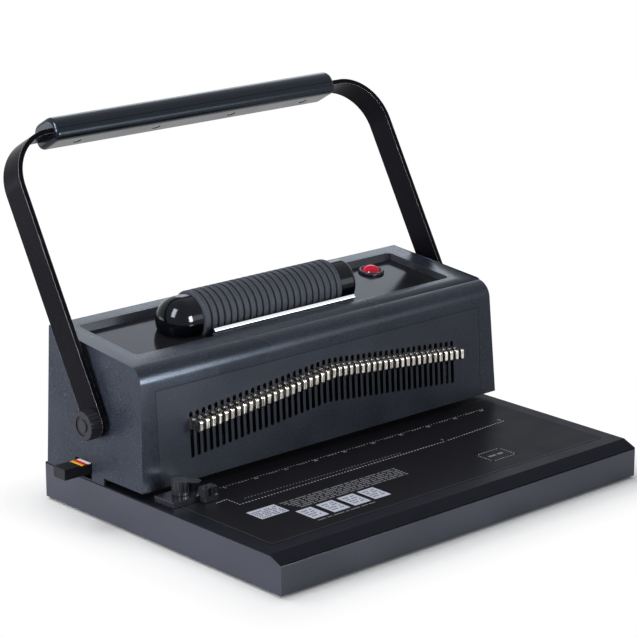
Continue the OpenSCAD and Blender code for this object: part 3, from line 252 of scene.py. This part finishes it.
buildFloor(stageLook)
buildAir(stageLook)
buildLamps(lampLooks)
buildCamera(cameraLook)
bpy.context.scene.view_settings.view_transform = "Standard"

# shared surface effects
effectInputs = [("Vector", "NodeSocketVector"), ("Scale", "NodeSocketFloat"),
                ("Dark", "NodeSocketColor"), ("Light", "NodeSocketColor"),
                ("Rough Low", "NodeSocketFloat"), ("Rough High", "NodeSocketFloat")]
effectOutputs = [("Colour", "NodeSocketColor"), ("Roughness", "NodeSocketFloat"),
                 ("Height", "NodeSocketFloat")]
grainLook = dict(fineDetail=3.0, wideDetail=2.0, wideScale=0.02, speck=(0.36, 0.70), cloud=(0.3, 0.7),
                 speckShare=0.8, cloudShare=0.2, glint=(0.66, 0.74))
brushLook = dict(detail=4.0, streak=(0.3, 0.7), stretch=(0.05, 1.0, 1.0))


def newGroup(name, ownInput):
    group = bpy.data.node_groups.new(name, "ShaderNodeTree")
    for label, kind in effectInputs + [ownInput]:
        group.interface.new_socket(name=label, in_out="INPUT", socket_type=kind)
    for label, kind in effectOutputs:
        group.interface.new_socket(name=label, in_out="OUTPUT", socket_type=kind)
    return group, group.nodes.new("NodeGroupInput").outputs, group.nodes.new("NodeGroupOutput")


def buildGrainGroup(look):
    # fine speckle of a powder coat or a moulded skin
    group, given, outer = newGroup("coatGrain", ("Sparkle", "NodeSocketColor"))
    wideScale = mathStep(group, "MULTIPLY", given["Scale"], look["wideScale"])
    fine = noiseAt(group, given["Vector"], given["Scale"], look["fineDetail"])
    wide = noiseAt(group, given["Vector"], wideScale, look["wideDetail"])
    speck = mapTo(group, fine, *look["speck"])
    cloud = mapTo(group, wide, *look["cloud"])
    glint = mapTo(group, fine, *look["glint"])
    clouded = mathStep(group, "MULTIPLY", cloud, look["cloudShare"])
    blend = mathStep(group, "MULTIPLY_ADD", speck, look["speckShare"], clouded)
    plain = mixColour(group, blend, given["Dark"], given["Light"])
    colour = mixColour(group, glint, plain, given["Sparkle"])
    rough = mapTo(group, cloud, 0.0, 1.0, given["Rough Low"], given["Rough High"])
    feedAll(group, outer, {"Colour": colour, "Roughness": rough, "Height": fine})
    return group


def buildBrushGroup(look):
    # long fine scratches along one axis, for ground and drawn metal
    group, given, outer = newGroup("drawnMetal", ("Stretch", "NodeSocketVector"))
    stretch = addNode(group, "ShaderNodeMapping", {"Vector": given["Vector"], "Scale": given["Stretch"]})
    streak = noiseAt(group, stretch.outputs["Vector"], given["Scale"], look["detail"])
    sharp = mapTo(group, streak, *look["streak"])
    colour = mixColour(group, sharp, given["Dark"], given["Light"])
    rough = mapTo(group, sharp, 0.0, 1.0, given["Rough Low"], given["Rough High"])
    feedAll(group, outer, {"Colour": colour, "Roughness": rough, "Height": streak})
    return group


coatGrain = buildGrainGroup(grainLook)
drawnMetal = buildBrushGroup(brushLook)

# what holds where a finish says nothing else
plainLook = dict(depth=0.0001, metal=0.0, specular=0.5, tint=(1, 1, 1))


def newFinish(name, ownLook, group):
    look = {**plainLook, **ownLook}
    mat = bpy.data.materials.new(name)
    mat.use_nodes = True
    tree = mat.node_tree
    coords = tree.nodes.new("ShaderNodeTexCoord")
    values = {"Vector": coords.outputs["Object"], "Scale": look["scale"],
              "Dark": rgba(look["dark"]), "Light": rgba(look["light"]),
              "Rough Low": look["rough"][0], "Rough High": look["rough"][1]}
    if group == coatGrain:
        values["Sparkle"] = rgba(look.get("sparkle", look["light"]))
    else:
        values["Stretch"] = look.get("stretch", brushLook["stretch"])
    effect = addNode(tree, "ShaderNodeGroup", values, node_tree=group).outputs
    bump = addNode(tree, "ShaderNodeBump", {"Strength": look["bump"], "Distance": look["depth"],
                                            "Height": effect["Height"]})
    feedAll(tree, tree.nodes["Principled BSDF"], {
        "Base Color": effect["Colour"], "Roughness": effect["Roughness"], "Metallic": look["metal"],
        "Specular IOR Level": look["specular"], "Specular Tint": rgba(look["tint"]),
        "Normal": bump.outputs["Normal"]})
    return mat


# the bluish Specular Tint of most finishes colours their reflections: a painted bluish cast of the light
finishLooks = {
    "housingPowder": dict(
        scale=1250, dark=(0.007, 0.0085, 0.0125), light=(0.028, 0.033, 0.048), rough=(0.25, 0.31),
        sparkle=(0.12, 0.14, 0.18), bump=0.34, depth=0.0003, specular=0.18, tint=(0.65, 0.79, 1.0)),
    "panelPowder": dict(
        scale=1250, dark=(0.010, 0.0115, 0.016), light=(0.025, 0.029, 0.042), rough=(0.34, 0.42),
        sparkle=(0.06, 0.07, 0.095), bump=0.3, depth=0.0003, specular=0.16, tint=(0.70, 0.80, 1.0)),
    "basePowder": dict(
        scale=1300, dark=(0.017, 0.0175, 0.025), light=(0.031, 0.032, 0.046), rough=(0.36, 0.44),
        bump=0.2, depth=0.0002, specular=0.42, tint=(0.76, 0.83, 1.0)),
    "deckSatin": dict(
        scale=1800, dark=(0.008, 0.008, 0.010), light=(0.013, 0.013, 0.016), rough=(0.36, 0.44),
        bump=0.12, specular=0.007, tint=(0.8, 0.88, 1.0)),
    # painted shade and reflection tint: a darker, bluer copy of the deck finish that reflects more, for how
    # the slope reads in the light
    "noseSatinShaded": dict(
        scale=1800, dark=(0.006, 0.0068, 0.010), light=(0.010, 0.011, 0.016), rough=(0.36, 0.44),
        bump=0.12, specular=0.018, tint=(0.66, 0.80, 1.0)),
    "panelFilm": dict(
        scale=1800, dark=(0.008, 0.008, 0.010), light=(0.012, 0.012, 0.0145), rough=(0.30, 0.38),
        bump=0.06, specular=0.007, tint=(0.8, 0.88, 1.0)),
    "strapGloss": dict(
        scale=600, dark=(0.0035, 0.0035, 0.0048), light=(0.006, 0.006, 0.008), rough=(0.24, 0.32),
        bump=0.04, specular=0.022, tint=(0.8, 0.88, 1.0)),
    "gripPlastic": dict(
        scale=1200, dark=(0.004, 0.005, 0.008), light=(0.008, 0.010, 0.015), rough=(0.20, 0.28),
        bump=0.08, specular=0.235, tint=(0.64, 0.80, 1.0)),
    "knobPlastic": dict(
        scale=1600, dark=(0.010, 0.010, 0.013), light=(0.024, 0.024, 0.030), rough=(0.30, 0.38),
        bump=0.2, specular=0.17, tint=(0.85, 0.9, 1.0)),
    "guidePlastic": dict(
        scale=1200, dark=(0.012, 0.0125, 0.016), light=(0.023, 0.024, 0.030), rough=(0.14, 0.20),
        bump=0.05, specular=0.34, tint=(0.85, 0.9, 1.0)),
    "capGloss": dict(
        scale=700, dark=(0.0015, 0.002, 0.0035), light=(0.003, 0.004, 0.006), rough=(0.10, 0.15),
        bump=0.02, specular=0.16, tint=(0.85, 0.9, 1.0)),
    "recessGloss": dict(
        scale=1500, dark=(0.008, 0.008, 0.010), light=(0.014, 0.014, 0.017), rough=(0.10, 0.15),
        bump=0.06, specular=0.036, tint=(0.80, 0.90, 1.0)),
    "recessWall": dict(
        scale=1250, dark=(0.016, 0.018, 0.023), light=(0.036, 0.039, 0.050), rough=(0.26, 0.34),
        bump=0.2, depth=0.0002, specular=0.3, tint=(0.8, 0.88, 1.0)),
    "rollerRubber": dict(
        scale=1400, dark=(0.021, 0.0225, 0.030), light=(0.051, 0.055, 0.072), rough=(0.62, 0.75),
        sparkle=(0.12, 0.124, 0.145), bump=0.3, depth=0.0002, specular=0.2, tint=(0.8, 0.88, 1.0)),
    "footRubber": dict(
        scale=1800, dark=(0.006, 0.006, 0.006), light=(0.014, 0.014, 0.014), rough=(0.7, 0.85),
        bump=0.2, depth=0.0002, specular=0.25),
    "gearNylon": dict(
        scale=900, dark=(0.58, 0.56, 0.50), light=(0.68, 0.66, 0.60), rough=(0.45, 0.55),
        bump=0.05),
    "motorPaint": dict(
        scale=900, dark=(0.16, 0.17, 0.18), light=(0.22, 0.23, 0.24), rough=(0.4, 0.5),
        bump=0.08),
    "drawerPlastic": dict(
        scale=1500, dark=(0.014, 0.014, 0.016), light=(0.026, 0.026, 0.030), rough=(0.45, 0.55),
        bump=0.15, specular=0.3),
    "paleInk": dict(
        scale=2500, dark=(0.32, 0.34, 0.40), light=(0.44, 0.46, 0.54), rough=(0.5, 0.6),
        bump=0.02, depth=0.00005, specular=0.1),
    "greyInk": dict(
        scale=2500, dark=(0.16, 0.165, 0.18), light=(0.26, 0.265, 0.29), rough=(0.5, 0.6),
        bump=0.02, depth=0.00005, specular=0.1),
    "darkInk": dict(
        scale=2500, dark=(0.02, 0.021, 0.026), light=(0.045, 0.047, 0.055), rough=(0.5, 0.6),
        bump=0.02, depth=0.00005, specular=0.1),
    # painted highlight: a lighter finish on the bevels of the base, for the light lines along its edges
    "paintedEdgeHighlight": dict(
        scale=1250, dark=(0.07, 0.075, 0.09), light=(0.12, 0.13, 0.155), rough=(0.35, 0.45),
        bump=0.2, depth=0.0002, specular=0.35),
    "slotShade": dict(
        scale=1250, dark=(0.002, 0.002, 0.003), light=(0.005, 0.005, 0.006), rough=(0.6, 0.7),
        bump=0.1, specular=0.05),
    # painted highlight: near white on the bevels of the strap, for the bright lines along its edges
    "paintedStrapHighlight": dict(
        scale=600, dark=(0.56, 0.57, 0.60), light=(0.82, 0.83, 0.86), rough=(0.2, 0.3),
        bump=0.05),
    # painted highlight: light grey on the bevels of the edge guide, for the bright lines along its edges
    "paintedGuideHighlight": dict(
        scale=900, dark=(0.24, 0.24, 0.25), light=(0.42, 0.42, 0.44), rough=(0.15, 0.22),
        bump=0.05, specular=0.6),
}
metalLooks = {
    "railChrome": dict(
        scale=500, dark=(0.78, 0.80, 0.85), light=(0.86, 0.88, 0.92), rough=(0.08, 0.14),
        bump=0.02, metal=1.0),
    "groundSteel": dict(
        scale=700, dark=(0.30, 0.31, 0.33), light=(0.46, 0.47, 0.49), rough=(0.28, 0.42),
        bump=0.08, metal=1.0),
    "zincScrew": dict(
        scale=900, dark=(0.26, 0.27, 0.29), light=(0.40, 0.41, 0.43), rough=(0.3, 0.45),
        bump=0.08, metal=1.0),
    # near-black steel; on the punch and die parts this is painted shade of the dark throat and the slots
    "blackSteelAndShade": dict(
        scale=700, dark=(0.004, 0.004, 0.005), light=(0.009, 0.009, 0.010), rough=(0.45, 0.6),
        bump=0.08, specular=0.03),
    "plainBronze": dict(
        scale=700, dark=(0.34, 0.23, 0.09), light=(0.48, 0.34, 0.15), rough=(0.3, 0.42),
        bump=0.06, metal=1.0),
}
finishes = {name: newFinish(name, look, coatGrain) for name, look in finishLooks.items()}
finishes.update({name: newFinish(name, look, drawnMetal) for name, look in metalLooks.items()})

buttonLook = dict(scale=700, dark=(0.40, 0.0005, 0.022), light=(0.50, 0.001, 0.03), rough=(0.06, 0.10),
                  bump=0.02, specular=0.2, glow=(0.55, 0.0, 0.03), glowStrength=0.08)


def buildButtonRed(look):
    mat = newFinish("buttonRed", look, coatGrain)
    tree = mat.node_tree
    feedAll(tree, tree.nodes["Principled BSDF"], {"Emission Color": rgba(look["glow"]),
                                                  "Emission Strength": look["glowStrength"]})
    return mat


# bands across the top of the selector bar, each from its place along the bar
selectorLook = dict(span=(-0.22, -0.18), skin=(0.0006, 0.0005), black=(0.010, 0.010, 0.012),
                    bands=[(-0.2035, (0.80, 0.52, 0.02)), (-0.2005, (0.62, 0.012, 0.015)),
                           (-0.1970, (0.72, 0.72, 0.74)), (-0.1935, (0.010, 0.010, 0.012))])


def buildSelectorPaint(look):
    mat = newFinish("selectorPaint", finishLooks["knobPlastic"], coatGrain)
    tree = mat.node_tree
    place = objectPlace(tree)
    low, high = look["span"]
    ramp = addNode(tree, "ShaderNodeValToRGB", {"Fac": mapTo(tree, place["X"], low, high)})
    ramp.color_ramp.interpolation = "CONSTANT"
    stops = ramp.color_ramp.elements
    stops.remove(stops[1])
    stops[0].color = rgba(look["black"])
    for edge, colour in look["bands"]:
        stops.new((edge - low) / (high - low)).color = rgba(colour)
    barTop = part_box("selector_slide")[1][2]
    onTop = mapTo(tree, place["Z"], *(barTop - depth for depth in look["skin"]))
    bands = mixColour(tree, onTop, rgba(look["black"]), ramp.outputs["Color"])
    feedAll(tree, tree.nodes["Principled BSDF"], {"Base Color": bands})
    return mat


# plated where they stand out of the slots, with drawn streaks made strong enough to serve also as painted
# reflections; painted shade, near black, where they run back into the slots and the holder
hookLook = dict(scale=800, dark=(0.16, 0.145, 0.13), light=(0.86, 0.83, 0.78), rough=(0.16, 0.30),
                bump=0.05, metal=1.0, stretch=(1.0, 1.0, 0.12),
                platedTo=0.0205, shadeFrom=0.0220, tail=(0.008, 0.008, 0.009))


def buildHookNickel(look):
    mat = newFinish("hookNickel", look, drawnMetal)
    tree = mat.node_tree
    base = tree.nodes["Principled BSDF"].inputs["Base Color"]
    plated = base.links[0].from_socket
    inside = mapTo(tree, objectPlace(tree)["Y"], look["platedTo"], look["shadeFrom"])
    # painted shade: the hooks turn near black behind the front of the slots, where they sit in shade
    tree.links.new(mixColour(tree, inside, plated, rgba(look["tail"])), base)
    return mat


finishes["hookNickel"] = buildHookNickel(hookLook)
finishes["buttonRed"] = buildButtonRed(buttonLook)
finishes["selectorPaint"] = buildSelectorPaint(selectorLook)
print("finishes made:", len(finishes))

nodeFinish = {
    "housingPowder": ["housing_shell", "rear_cover"],
    "panelPowder": ["front_panel"],
    "basePowder": ["base_shell", "base_plate"],
    "deckSatin": ["deck_cover"],
    "panelFilm": ["tray_panel"],
    "strapGloss": ["handle_strap"],
    "gripPlastic": ["grip_upper", "grip_lower"],
    "knobPlastic": ["left_knob", "right_knob", "selector_guide", "button_bezel"],
    "guidePlastic": ["edge_guide", "edge_guide_knob"],
    "capGloss": ["left_end_cap", "right_end_cap", "button_switch", "power_inlet"],
    "recessWall": ["recess_liner"],
    "rollerRubber": ["roller_sleeve"],
    "footRubber": ["rubber_feet"],
    "gearNylon": ["roller_gear", "motor_gear"],
    "motorPaint": ["inserter_motor"],
    "drawerPlastic": ["chip_drawer"],
    "hookNickel": ["pull_hooks"],
    "railChrome": ["coil_rail"],
    "groundSteel": ["left_side_frame", "right_side_frame", "guide_rods", "return_springs", "drive_shaft",
                    "left_drive_gear", "right_drive_gear", "left_rack", "right_rack", "depth_stop",
                    "roller_core", "roller_bearings", "edge_guide_nut"],
    "zincScrew": ["base_screws", "rear_screws", "frame_bolts", "die_bolts", "grip_screws"],
    # painted shade: the punch and die parts are made as dark as the throat and slots they sit in
    "blackSteelAndShade": ["shaft_collars", "punch_bar", "pin_holder", "punch_guide", "punch_pins", "die_plate",
                   "die_spacers"],
    "plainBronze": ["left_shaft_bush", "right_shaft_bush"],
    "buttonRed": ["button_cap"],
    "selectorPaint": ["selector_slide"],
}
finishOf = {node: name for name, group in nodeFinish.items() for node in group}
for node, name in finishOf.items():
    slots = nodes[node].data.materials
    slots.clear()
    slots.append(finishes[name])
bodyOf = {node: body for body, group in frame["record"]["behaviour"]["bodies"].items() for node in group}
print("finishes on nodes:", len(finishOf))

# pieces whose folded, cast or moulded edges are eased: widths in mm, angles in degrees
edgeLooks = {
    "housing_shell": dict(name="housingCover", width=4.0, segments=4, angle=30, weigh="outer"),
    "front_panel": dict(name="slottedPanel", width=0.2, segments=1, angle=50),
    "base_shell": dict(name="baseBox", width=0.7, segments=2, angle=30, edge="paintedEdgeHighlight"),
    "deck_cover": dict(name="deckSkin", width=0.45, segments=2, angle=15),
    "handle_strap": dict(name="handleBow", width=0.7, segments=2, angle=30, edge="paintedStrapHighlight"),
    "grip_upper": dict(name="gripTop", width=0.5, segments=2, angle=25),
    "grip_lower": dict(name="gripBottom", width=0.5, segments=2, angle=25),
    "left_knob": dict(name="leftKnobTurned", width=0.5, segments=2, angle=40),
    "right_knob": dict(name="rightKnobTurned", width=0.5, segments=2, angle=40),
    "edge_guide": dict(name="edgeGuideBlock", width=0.3, segments=2, angle=30, edge="paintedGuideHighlight"),
    "edge_guide_knob": dict(name="edgeGuideClamp", width=0.3, segments=2, angle=40),
    "selector_slide": dict(name="selectorBar", width=0.4, segments=2, angle=30),
    "left_end_cap": dict(name="leftCapMoulding", width=0.6, segments=2, angle=30),
    "right_end_cap": dict(name="rightCapMoulding", width=0.8, segments=2, angle=30),
    "coil_rail": dict(name="coilRailStrip", width=0.25, segments=2, angle=30),
    "pull_hooks": dict(name="hookRow", width=0.35, segments=2, angle=40),
    "recess_liner": dict(name="recessTray", width=0.8, segments=3, angle=25),
    "roller_sleeve": dict(name="rollerRibbed", width=1.1, segments=3, angle=30),
    "button_bezel": dict(name="buttonRing", width=0.3, segments=2, angle=30),
    "chip_drawer": dict(name="chipDrawerTray", width=0.4, segments=2, angle=30),
    "rear_cover": dict(name="rearPlate", width=0.3, segments=2, angle=30),
    "power_inlet": dict(name="mainsSocket", width=0.3, segments=2, angle=30),
}
copyLook = dict(mergeGap=0.000002, flatAngle=0.2, smoothMore=8)  # gap in m, angles in degrees
outerLook = dict(side=0.3, high=118.0, front=24.0, back=138.0, tall=10.0, digits=4, bend=25,
                 upright=1.0, plain=0.45, small=0.08)  # mm, degrees, and the weights of the bevel


def copyNode(node, name, flatten=False):
    # the copy has its loose triangles merged, and flat faces made whole if asked
    piece = bpy.data.objects.new(name, nodes[node].data.copy())
    bpy.context.scene.collection.objects.link(piece)
    pick(piece)
    bpy.ops.object.mode_set(mode="EDIT")
    bpy.ops.mesh.select_all(action="SELECT")
    bpy.ops.mesh.remove_doubles(threshold=copyLook["mergeGap"])
    if flatten:
        bpy.ops.mesh.dissolve_limited(angle_limit=math.radians(copyLook["flatAngle"]))
    bpy.ops.object.mode_set(mode="OBJECT")
    return piece


def standFor(piece, node):
    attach(piece, bodyOf[node])
    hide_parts(node)


def weighOuterEdges(piece, look):
    # full rounding on the outer corners of the folded cover, little on its thin inner edges
    mesh = piece.data
    wide = {}
    for v in mesh.vertices:
        level = round(v.co.z, look["digits"])
        wide[level] = max(wide.get(level, 0), abs(v.co.x))
    facing = {}
    for face in mesh.polygons:
        for key in face.edge_keys:
            facing.setdefault(key, []).append(face.normal)
    weights = mesh.attributes.new("bevel_weight_edge", "FLOAT", "EDGE")
    for edge in mesh.edges:
        beside = facing[edge.key]
        if len(beside) == 2 and beside[0].angle(beside[1]) < math.radians(look["bend"]):
            continue  # facets of the rolled front edge stay one smooth face
        ends = [mesh.vertices[i].co for i in edge.vertices]
        outer = all(abs(v.x) > wide[round(v.z, look["digits"])] - look["side"] * mm and (
            v.z > look["high"] * mm or v.y < look["front"] * mm or v.y > look["back"] * mm) for v in ends)
        atBack = outer and all(v.y > look["back"] * mm for v in ends)
        upright = atBack and abs(ends[0].z - ends[1].z) > look["tall"] * mm
        weights.data[edge.index].value = look["upright" if upright else "plain" if outer else "small"]


def easeEdges(node, look):
    piece = copyNode(node, look["name"], flatten=True)
    bevel = piece.modifiers.new("easedEdge", "BEVEL")
    bevel.width = look["width"] * mm
    bevel.segments = look["segments"]
    bevel.limit_method = "ANGLE"
    bevel.angle_limit = math.radians(look["angle"])
    bevel.use_clamp_overlap = True
    if look.get("weigh") == "outer":
        weighOuterEdges(piece, outerLook)
        bevel.limit_method = "WEIGHT"
    # a look that names an edge finish puts it on the bevel faces, as a painted highlight along the edges
    if "edge" in look:
        piece.data.materials.append(finishes[look["edge"]])
        bevel.material = 1  # the finish just added
    applyAll(piece)
    bpy.ops.object.shade_smooth_by_angle(angle=math.radians(look["angle"] + copyLook["smoothMore"]))
    weigh = piece.modifiers.new("flatFaces", "WEIGHTED_NORMAL")
    weigh.keep_sharp = True
    applyAll(piece)
    standFor(piece, node)
    return piece


eased = {node: easeEdges(node, look) for node, look in edgeLooks.items()}
print("edges eased on", len(edgeLooks), "pieces")

# faces with a finish of their own, found by their place and by the way they face
trayBack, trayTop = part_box("recess_liner")[1][1:]
faceLook = dict(traySlope=0.1, floorDepth=0.004, floorUp=0.99, rimDepth=0.0009, rimUp=0.9, slotTurn=0.5,
                noseUp=(0.1, 0.97))


def belowRim(face):
    return trayTop - (trayBack - face.center.y) * faceLook["traySlope"] - face.center.z


def onTrayFloor(face):
    return face.normal.z > faceLook["floorUp"] and belowRim(face) > faceLook["floorDepth"]


def onTrayRim(face):
    return face.normal.z > faceLook["rimUp"] and belowRim(face) < faceLook["rimDepth"]


def inSlot(face):
    return abs(face.normal.y) < faceLook["slotTurn"]


def onNose(face):
    low, high = faceLook["noseUp"]
    return low < face.normal.z < high


def secondFinish(piece, finish, belongs):
    piece.data.materials.append(finishes[finish])
    piece.active_material_index = len(piece.data.materials) - 1
    pick(piece)
    bpy.ops.object.mode_set(mode="EDIT")
    bpy.ops.mesh.select_all(action="DESELECT")
    bpy.ops.object.mode_set(mode="OBJECT")
    for face in piece.data.polygons:
        face.select = belongs(face)
    bpy.ops.object.mode_set(mode="EDIT")
    bpy.ops.object.material_slot_assign()
    bpy.ops.object.mode_set(mode="OBJECT")


secondFinish(eased["recess_liner"], "recessGloss", onTrayFloor)  # a polished insert between painted walls
secondFinish(eased["recess_liner"], "housingPowder", onTrayRim)
secondFinish(eased["front_panel"], "slotShade", inSlot)
# the sloped nose faces of the one deck moulding take that painted shade and reflection tint
secondFinish(eased["deck_cover"], "noseSatinShaded", onNose)
print("second finishes on")

springLook = dict(name="springCoils", node="return_springs", joint="punch_stroke", smooth=40)


def buildSprings(look):
    # the coils sit between the guide plate and the punch bar; the copy is shaded smooth and rides with the
    # node's body
    piece = copyNode(look["node"], look["name"])
    bpy.ops.object.shade_smooth_by_angle(angle=math.radians(look["smooth"]))
    standFor(piece, look["node"])
    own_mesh(piece)
    print("springs wound")


buildSprings(springLook)

# round pieces that keep the CAD mesh and are only shaded smooth
roundLook = dict(smooth=30, nodes=["button_cap", "roller_core", "drive_shaft", "rubber_feet", "guide_rods"])
for node in roundLook["nodes"]:
    pick(nodes[node])
    bpy.ops.object.shade_smooth_by_angle(angle=math.radians(roundLook["smooth"]))

# printed marks on the deck panel: places and sizes in mm, lift, thickness and rise in m
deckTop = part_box("tray_panel")[1][2]
printLook = dict(lift=0.00003, thick=0.00004, inkRise=0.00005, glyphStep=1.7, wordGap=1.6)


def flatBox(x0, y0, x1, y1, rise=0.0):
    deselectAll()
    place = ((x0 + x1) / 2 * mm, (y0 + y1) / 2 * mm, deckTop + printLook["lift"] + rise)
    bpy.ops.mesh.primitive_plane_add(size=1, location=place)
    piece = bpy.context.active_object
    piece.scale = ((x1 - x0) * mm, (y1 - y0) * mm, 1)
    settle(piece)
    return piece


def rowOf(piece, stepX, stepY, count):
    row = piece.modifiers.new("row", "ARRAY")
    row.use_relative_offset = False
    row.use_constant_offset = True
    row.constant_offset_displace = (stepX * mm, stepY * mm, 0)
    row.count = count
    applyAll(piece)
    return piece


def dotRow(start, end, pitch, wide, deep):
    run = Vector(end) - Vector(start)
    count = max(2, int(run.length / pitch) + 1)
    step = run / (count - 1)
    piece = flatBox(start[0] - wide / 2, start[1] - deep / 2, start[0] + wide / 2, start[1] + deep / 2)
    return rowOf(piece, step.x, step.y, count)


def wordRow(x0, x1, y, glyph, tall, words, slant=0.0, rise=0.0):
    # runs of equal marks with gaps between them, like lines of small print seen from afar
    made, x, k = [], x0, 0
    step = glyph * printLook["glyphStep"]
    while x < x1:
        count = min(words[k % len(words)], int((x1 - x) / step) + 1)
        up = y + slant * (x - x0)
        mark = flatBox(x, up, x + glyph, up + tall, rise)
        made.append(rowOf(mark, step, slant * step, count))
        x += step * count + glyph * printLook["wordGap"]
        k += 1
    return made


def wordBlock(lines, drop, turn, words, x0, y, shift=0.0, **row):
    # each line starts with another of the first words
    made = []
    for r in range(lines):
        k = r % turn
        made += wordRow(x0=x0 + shift * r, y=y - drop * r, words=words[k:] + words[:k], **row)
    return made


def textMark(body, x, y, size):
    deselectAll()
    bpy.ops.object.text_add(location=(x * mm, y * mm, deckTop + printLook["lift"]))
    piece = bpy.context.active_object
    piece.data.body = body
    piece.data.size = size * mm
    piece.data.align_x = "CENTER"
    bpy.ops.object.convert(target="MESH")
    piece = bpy.context.active_object
    settle(piece)
    return piece


def finishPrint(pieces, name, finish):
    piece = joinPieces(pieces, name)
    bpy.ops.object.mode_set(mode="EDIT")
    bpy.ops.mesh.select_all(action="SELECT")
    bpy.ops.mesh.extrude_region_move(TRANSFORM_OT_translate={"value": (0, 0, printLook["thick"])})
    bpy.ops.mesh.select_all(action="SELECT")
    bpy.ops.mesh.normals_make_consistent(inside=False)
    bpy.ops.object.mode_set(mode="OBJECT")
    piece.data.materials.clear()
    piece.data.materials.append(finishes[finish])
    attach(piece, "machine")


# numbers at every fifth pitch, dots at every half pitch and short dotted dashes between the numbers
scaleLook = dict(pitch=6.35, every=5, numbers=10, firstX=-127, numberY=-2.4, numberSize=4.2,
                 dots=dict(start=(-130, 1.2), end=(162, 1.2), wide=1.1, deep=0.8),
                 dash=dict(pitch=2.4, wide=1.0, deep=0.8), dashFrom=-112, dashTo=-104, dashY=0.1)


def printScale(look):
    step = look["every"] * look["pitch"]
    marks = [dotRow(pitch=look["pitch"] / 2, **look["dots"])]
    for k in range(look["numbers"]):
        marks.append(textMark(str(look["every"] * (k + 1)), look["firstX"] + k * step, look["numberY"],
                              look["numberSize"]))
    for k in range(look["numbers"] - 1):
        ends = [(x + k * step, look["dashY"]) for x in (look["dashFrom"], look["dashTo"])]
        marks.append(dotRow(*ends, **look["dash"]))
    finishPrint(marks, "pinScale", "paleInk")


# dotted line across the panel: start, end, pitch, width and depth of the dots
guideLook = dict(rows=[((-153.6, -23), (-143, -22.2), 2.6, 1.4, 0.9),
                       ((-143, -22.2), (-142.7, -37.4), 2.6, 1.0, 1.2),
                       ((-142.7, -37.4), (79.9, -37.3), 3.2, 1.5, 0.9),
                       ((79.9, -37.3), (152.2, -33), 3.2, 1.5, 0.9)],
                 numbers=[("1", 80, -34.5, 4.5), ("2", 152, -30, 4.5)])


def printGuide(look):
    marks = [dotRow(*row) for row in look["rows"]]
    marks += [textMark(*number) for number in look["numbers"]]
    finishPrint(marks, "dottedGuide", "paleInk")


# lines of small marks, one faint dotted line and a dotted box with two words
wordRun = [5, 3, 7, 2, 6, 4, 8, 3]  # marks in each word
smallLook = dict(line=((-130.5, -29.5), (31, -33.5), 3.2, 1.3, 0.8),
                 block=dict(lines=6, drop=3.2, turn=3, words=wordRun, x0=-119, x1=1, y=-57.5, shift=1.5,
                            glyph=0.95, tall=1.5, slant=-0.004),
                 foot=dict(words=wordRun, x0=-121, x1=-62, y=-103.5, glyph=0.95, tall=1.4),
                 corners=[(73, -98), (99.5, -98), (99.5, -79), (73, -79)],
                 side=dict(pitch=2.7, wide=1.2, deep=1.2),
                 label=dict(words=[4, 3], x0=78, x1=95, y=-90, glyph=1.2, tall=3.0))


def printSmall(look):
    lowLeft, lowRight, highRight, highLeft = look["corners"]
    marks = [dotRow(*look["line"])] + wordBlock(**look["block"]) + wordRow(**look["foot"])
    sides = [(highLeft, highRight), (lowLeft, lowRight), (lowLeft, highLeft), (lowRight, highRight)]
    marks += [dotRow(*ends, **look["side"]) for ends in sides]
    marks += wordRow(**look["label"])
    finishPrint(marks, "smallPrint", "greyInk")


# thin line along the front and the left of the panel
frameLook = dict(front=(-179.5, -116.6, 179.5, -116.1), left=(-179.5, -116.6, -179.0, 14.5))


def printFrame(look):
    finishPrint([flatBox(*look["front"]), flatBox(*look["left"])], "panelFrame", "darkInk")


# one wide pale box and four squares, with dark marks on them
boxLook = dict(wide=(-151, -73, -123.5, -54.5),
               squares=[(-121.4, -106), (-100.5, -84), (-79, -62.3), (-57.6, -41)],
               squareLow=-98.5, squareHigh=-77.3, inset=(2.5, 3),
               wideMarks=dict(lines=5, drop=3, turn=4, words=wordRun, x0=-149, x1=-126, y=-59.5,
                              glyph=1.2, tall=1.7),
               squareMarks=dict(lines=4, drop=4, turn=3, words=[3, 2, 4], y=-82.5, glyph=1.2, tall=1.9))


def printBoxes(look):
    rise = printLook["inkRise"]
    left, right = look["inset"]
    boxes, marks = [flatBox(*look["wide"])], []
    for x0, x1 in look["squares"]:
        boxes.append(flatBox(x0, look["squareLow"], x1, look["squareHigh"]))
        marks += wordBlock(x0=x0 + left, x1=x1 - right, rise=rise, **look["squareMarks"])
    marks += wordBlock(rise=rise, **look["wideMarks"])
    finishPrint(boxes, "blankBoxes", "paleInk")
    finishPrint(marks, "boxMarks", "darkInk")


printScale(scaleLook)
printGuide(guideLook)
printSmall(smallLook)
printFrame(frameLook)
printBoxes(boxLook)
print("prints laid on the panel")
